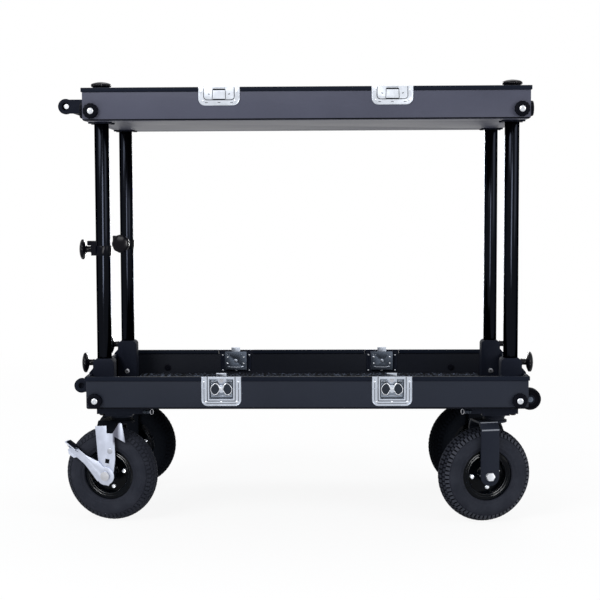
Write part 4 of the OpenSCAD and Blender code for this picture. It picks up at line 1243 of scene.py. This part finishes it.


# folds across the forks' shoulders, on the faces that carry no brake: pale as painted highlights on the front
# forks, dark as painted shade on the rear forks
foldLook = {"half": 23.5, "folds": ((247.4, 48.2, 2.3), (265.6, 36.6, 1.8))}  # height, proud, radius
for code, (sideX, sideY) in corners.items():
    centre, axis, matrix = wheelFrame(code)
    foldPaint = finishes["foldHighlightPaint" if sideY < 0 else "shadedForkPaint"]
    folds = []
    for face in (-1, 1) if sideX > 0 else (-sideY,):
        for height, proud, radius in foldLook["folds"]:
            end = Vector((foldLook["half"] * mm, height * mm - centre.z, face * proud * mm))
            base = openPath([(-end.x, end.y, end.z), end])
            fold = beads.grow("fold", base, foldPaint, Radius=radius * mm, Corner=0.5 * mm)
            fold.transform(matrix)
            folds.append(fold)
    madePiece("fork_%s_folds" % code, joinedMesh("fork_folds", folds), "fork_" + code, (), (), 60)

# quick-release pins on the rails' outer faces: a rod in a coil spring, with a ring on its inner end
pinLook = {
    "x": 404.5, "z": 297.0, "away": 5.4, "rod": 1.8, "long": 23.0, "ring": (3.6, 4.0, 6.6),
    "tube": 0.9, "coil": 4.4, "coilTube": 0.7, "coilFrom": 7.5, "turns": 4, "pitch": 4.0, "steps": 32,
}
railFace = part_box("caster_rails")[1].y / mm
around = [2 * math.pi * step / pinLook["steps"] for step in range(pinLook["steps"])]
pins = []
for code, (sideX, sideY) in corners.items():
    def besideRail(x, out, z, sideX=sideX, sideY=sideY):
        return spot(sideX * (pinLook["x"] + x), sideY * (railFace + pinLook["away"] + out), pinLook["z"] + z)

    thick, coil = pinLook["rod"], pinLook["coil"]
    rodOutline = [(0, 0), (thick, 0), (thick, pinLook["long"]), (0, pinLook["long"])]
    rod = meshFrom(turnedShape(rodOutline, besideRail(1, 0, 0), (sideX, 0, 0), 20), "rod")
    rod.materials.append(finishes["wingPlate"])
    pins.append(rod)
    wide, deep, tall = pinLook["ring"]
    flat = [(math.cos(turn), math.sin(turn)) for turn in around]
    ring = [besideRail(wide * a, deep * a, tall * b) for a, b in flat]
    base = pointMesh(ring, closedLinks(len(ring)))
    pins.append(beads.grow("ring", base, finishes["ringSteel"], Radius=pinLook["tube"] * mm, Corner=0.1 * mm))
    coils, links = [], []
    for order in range(pinLook["turns"]):
        links += closedLinks(len(around), len(coils))
        x = pinLook["coilFrom"] + pinLook["pitch"] * order
        coils += [besideRail(x, coil * a, coil * b) for a, b in flat]
    base, tube = pointMesh(coils, links), pinLook["coilTube"] * mm
    pins.append(beads.grow("coil", base, finishes["backPlate"], Radius=tube, Corner=0.1 * mm))
madePiece("rail_release_pins", joinedMesh("rail_release_pins", pins), "base", (), (), 60)
dressedCopy("caster_rails", (finishes["railPaint"],), 0.7)
dressedCopy("caster_plates", (finishes["railPaint"],), 0.7)
print("casters dressed")


# floor: white to the camera and in mirrors, with a little of its own shade left near the cart
studio = {
    "backdrop": 1.0, "paper": 0.9, "near": 0.9, "far": 4.0, "soft": 0.44, "floor": (0.86, 0.87, 0.89),
    "half": 60.0, "floorZ": -0.0005,
}
half, z = studio["half"], studio["floorZ"]
floorMesh = bpy.data.meshes.new("floor")
floorCorners = [(-half, -half, z), (half, -half, z), (half, half, z), (-half, half, z)]
floorMesh.from_pydata(floorCorners, [], [(0, 1, 2, 3)])
floor = bpy.data.objects.new("floor", floorMesh)
bpy.context.scene.collection.objects.link(floor)
ground = Recipe("studio floor")
ground.feed(colour=studio["floor"], roughness=0.9)
ground.level(specular=0.0)
rays = ground.node("ShaderNodeLightPath")
looked = Wire(ground, rays.outputs["Is Camera Ray"]).larger(rays.outputs["Is Glossy Ray"])
distance = ground.vector("LENGTH", ground.place)
faded = ground.band(distance, studio["near"], studio["far"])
papered = looked * (faded * (1 - studio["paper"]) + studio["paper"])
paper = ground.node("ShaderNodeEmission", {}, {"Color": (1, 1, 1, 1), "Strength": studio["backdrop"]})
mixing = ground.node(
    "ShaderNodeMixShader", {}, {0: papered, 1: ground.shader.outputs[0], 2: paper.outputs[0]},
)
ground.tree.links.new(mixing.outputs[0], ground.tree.nodes["Material Output"].inputs["Surface"])
floorMesh.materials.append(ground.material)

world = bpy.data.worlds.new("studio")
bpy.context.scene.world = world
world.use_nodes = True
world.node_tree.nodes.clear()
sky = NodeMaker(world.node_tree)
rays = sky.node("ShaderNodeLightPath")
seen = Wire(sky, rays.outputs["Is Camera Ray"]).larger(rays.outputs["Is Glossy Ray"])
strength = sky.node(
    "ShaderNodeMapRange", {}, {"Value": seen, "To Min": studio["soft"], "To Max": studio["backdrop"]},
)
shade = sky.node("ShaderNodeBackground", {}, {"Color": (1, 1, 1, 1), "Strength": strength.outputs[0]})
sky.node("ShaderNodeOutputWorld", {}, {"Surface": shade.outputs[0]})


# an area light; one with receivers lights only these, and only as a reflection
def softLight(name, place, target, size, power, receivers=None):
    lamp = bpy.data.lights.new(name, "AREA")
    lamp.shape, lamp.size, lamp.size_y, lamp.energy = "RECTANGLE", size[0], size[1], power
    holder = bpy.data.objects.new(name, lamp)
    holder.location = place
    holder.rotation_euler = (Vector(target) - Vector(place)).to_track_quat("-Z", "Y").to_euler()
    bpy.context.scene.collection.objects.link(holder)
    if receivers:
        holder.visible_diffuse = False
        holder.light_linking.receiver_collection = receivers


def piecesWith(name, kinds):  # a collection of the shown pieces that carry one of these finishes
    wanted = [finishes[kind] for kind in kinds]
    chosen = bpy.data.collections.new(name)
    for piece in bpy.data.objects:
        shownMesh = piece.type == "MESH" and not piece.hide_render
        if shownMesh and any(slot.material in wanted for slot in piece.material_slots):
            chosen.objects.link(piece)
    return chosen


lamps = {
    "key light": ((-2.6, -3.4, 3.0), (0, 0, 0.6), (2.4, 2.0), 150.0),  # place, target, size and power
    "fill light": ((3.4, -2.6, 1.8), (0, 0, 0.5), (2.0, 2.0), 60.0),
    "top light": ((0.4, 1.2, 4.2), (0, 0, 0.6), (3.0, 2.4), 90.0),
}
for name, (place, target, size, power) in lamps.items():
    softLight(name, place, target, size, power)

# tall strip lights, front and rear: the gloss black pieces mirror them as streaks
strip = {"x": 0.1, "z": 0.75, "wide": 1.1, "tall": 2.6, "away": 4.6, "power": 250.0}
glossy = piecesWith("gloss black pieces", ("postEnamel", "collarEnamel", "wheelEnamel", "knobPlastic"))
for name, away in (("front strip", -strip["away"]), ("rear strip", strip["away"])):
    place, target = (strip["x"], away, strip["z"]), (strip["x"], 0, strip["z"])
    softLight(name, place, target, (strip["wide"], strip["tall"]), strip["power"], glossy)

# a long lamp above the front, seen by the wheel rims only: their lips catch it as an arc
rimLamp = {"place": (0.0, -3.0, 2.9), "target": (0, -0.3, 0.1), "size": (3.0, 2.4), "power": 2600.0}
rimMetal = piecesWith("wheel rims", ("wheelEnamel",))
softLight("rim lamp", rimLamp["place"], rimLamp["target"], rimLamp["size"], rimLamp["power"], rimMetal)

lens = {
    "focal": 86.16, "sensor": 36.0, "place": (0.0392 + midX, -3.994, 0.862), "pitch": 0.074, "yaw": 0.0255,
    "roll": -0.0043, "shift": 0.0250, "rise": 0.0008, "near": 0.1, "far": 200.0,
}
camera = bpy.data.cameras.new("camera")
camera.lens, camera.sensor_width = lens["focal"], lens["sensor"]
camera.shift_x, camera.shift_y = lens["shift"], lens["rise"]
camera.clip_start, camera.clip_end = lens["near"], lens["far"]
eye = bpy.data.objects.new("camera", camera)
aim = Matrix.Rotation(lens["yaw"], 4, "Z") @ Matrix.Rotation(math.pi / 2 - lens["pitch"], 4, "X")
eye.matrix_world = Matrix.Translation(lens["place"]) @ aim @ Matrix.Rotation(lens["roll"], 4, "Z")
bpy.context.scene.collection.objects.link(eye)
bpy.context.scene.camera = eye
bpy.context.scene.view_settings.view_transform = "Standard"
print("studio set")
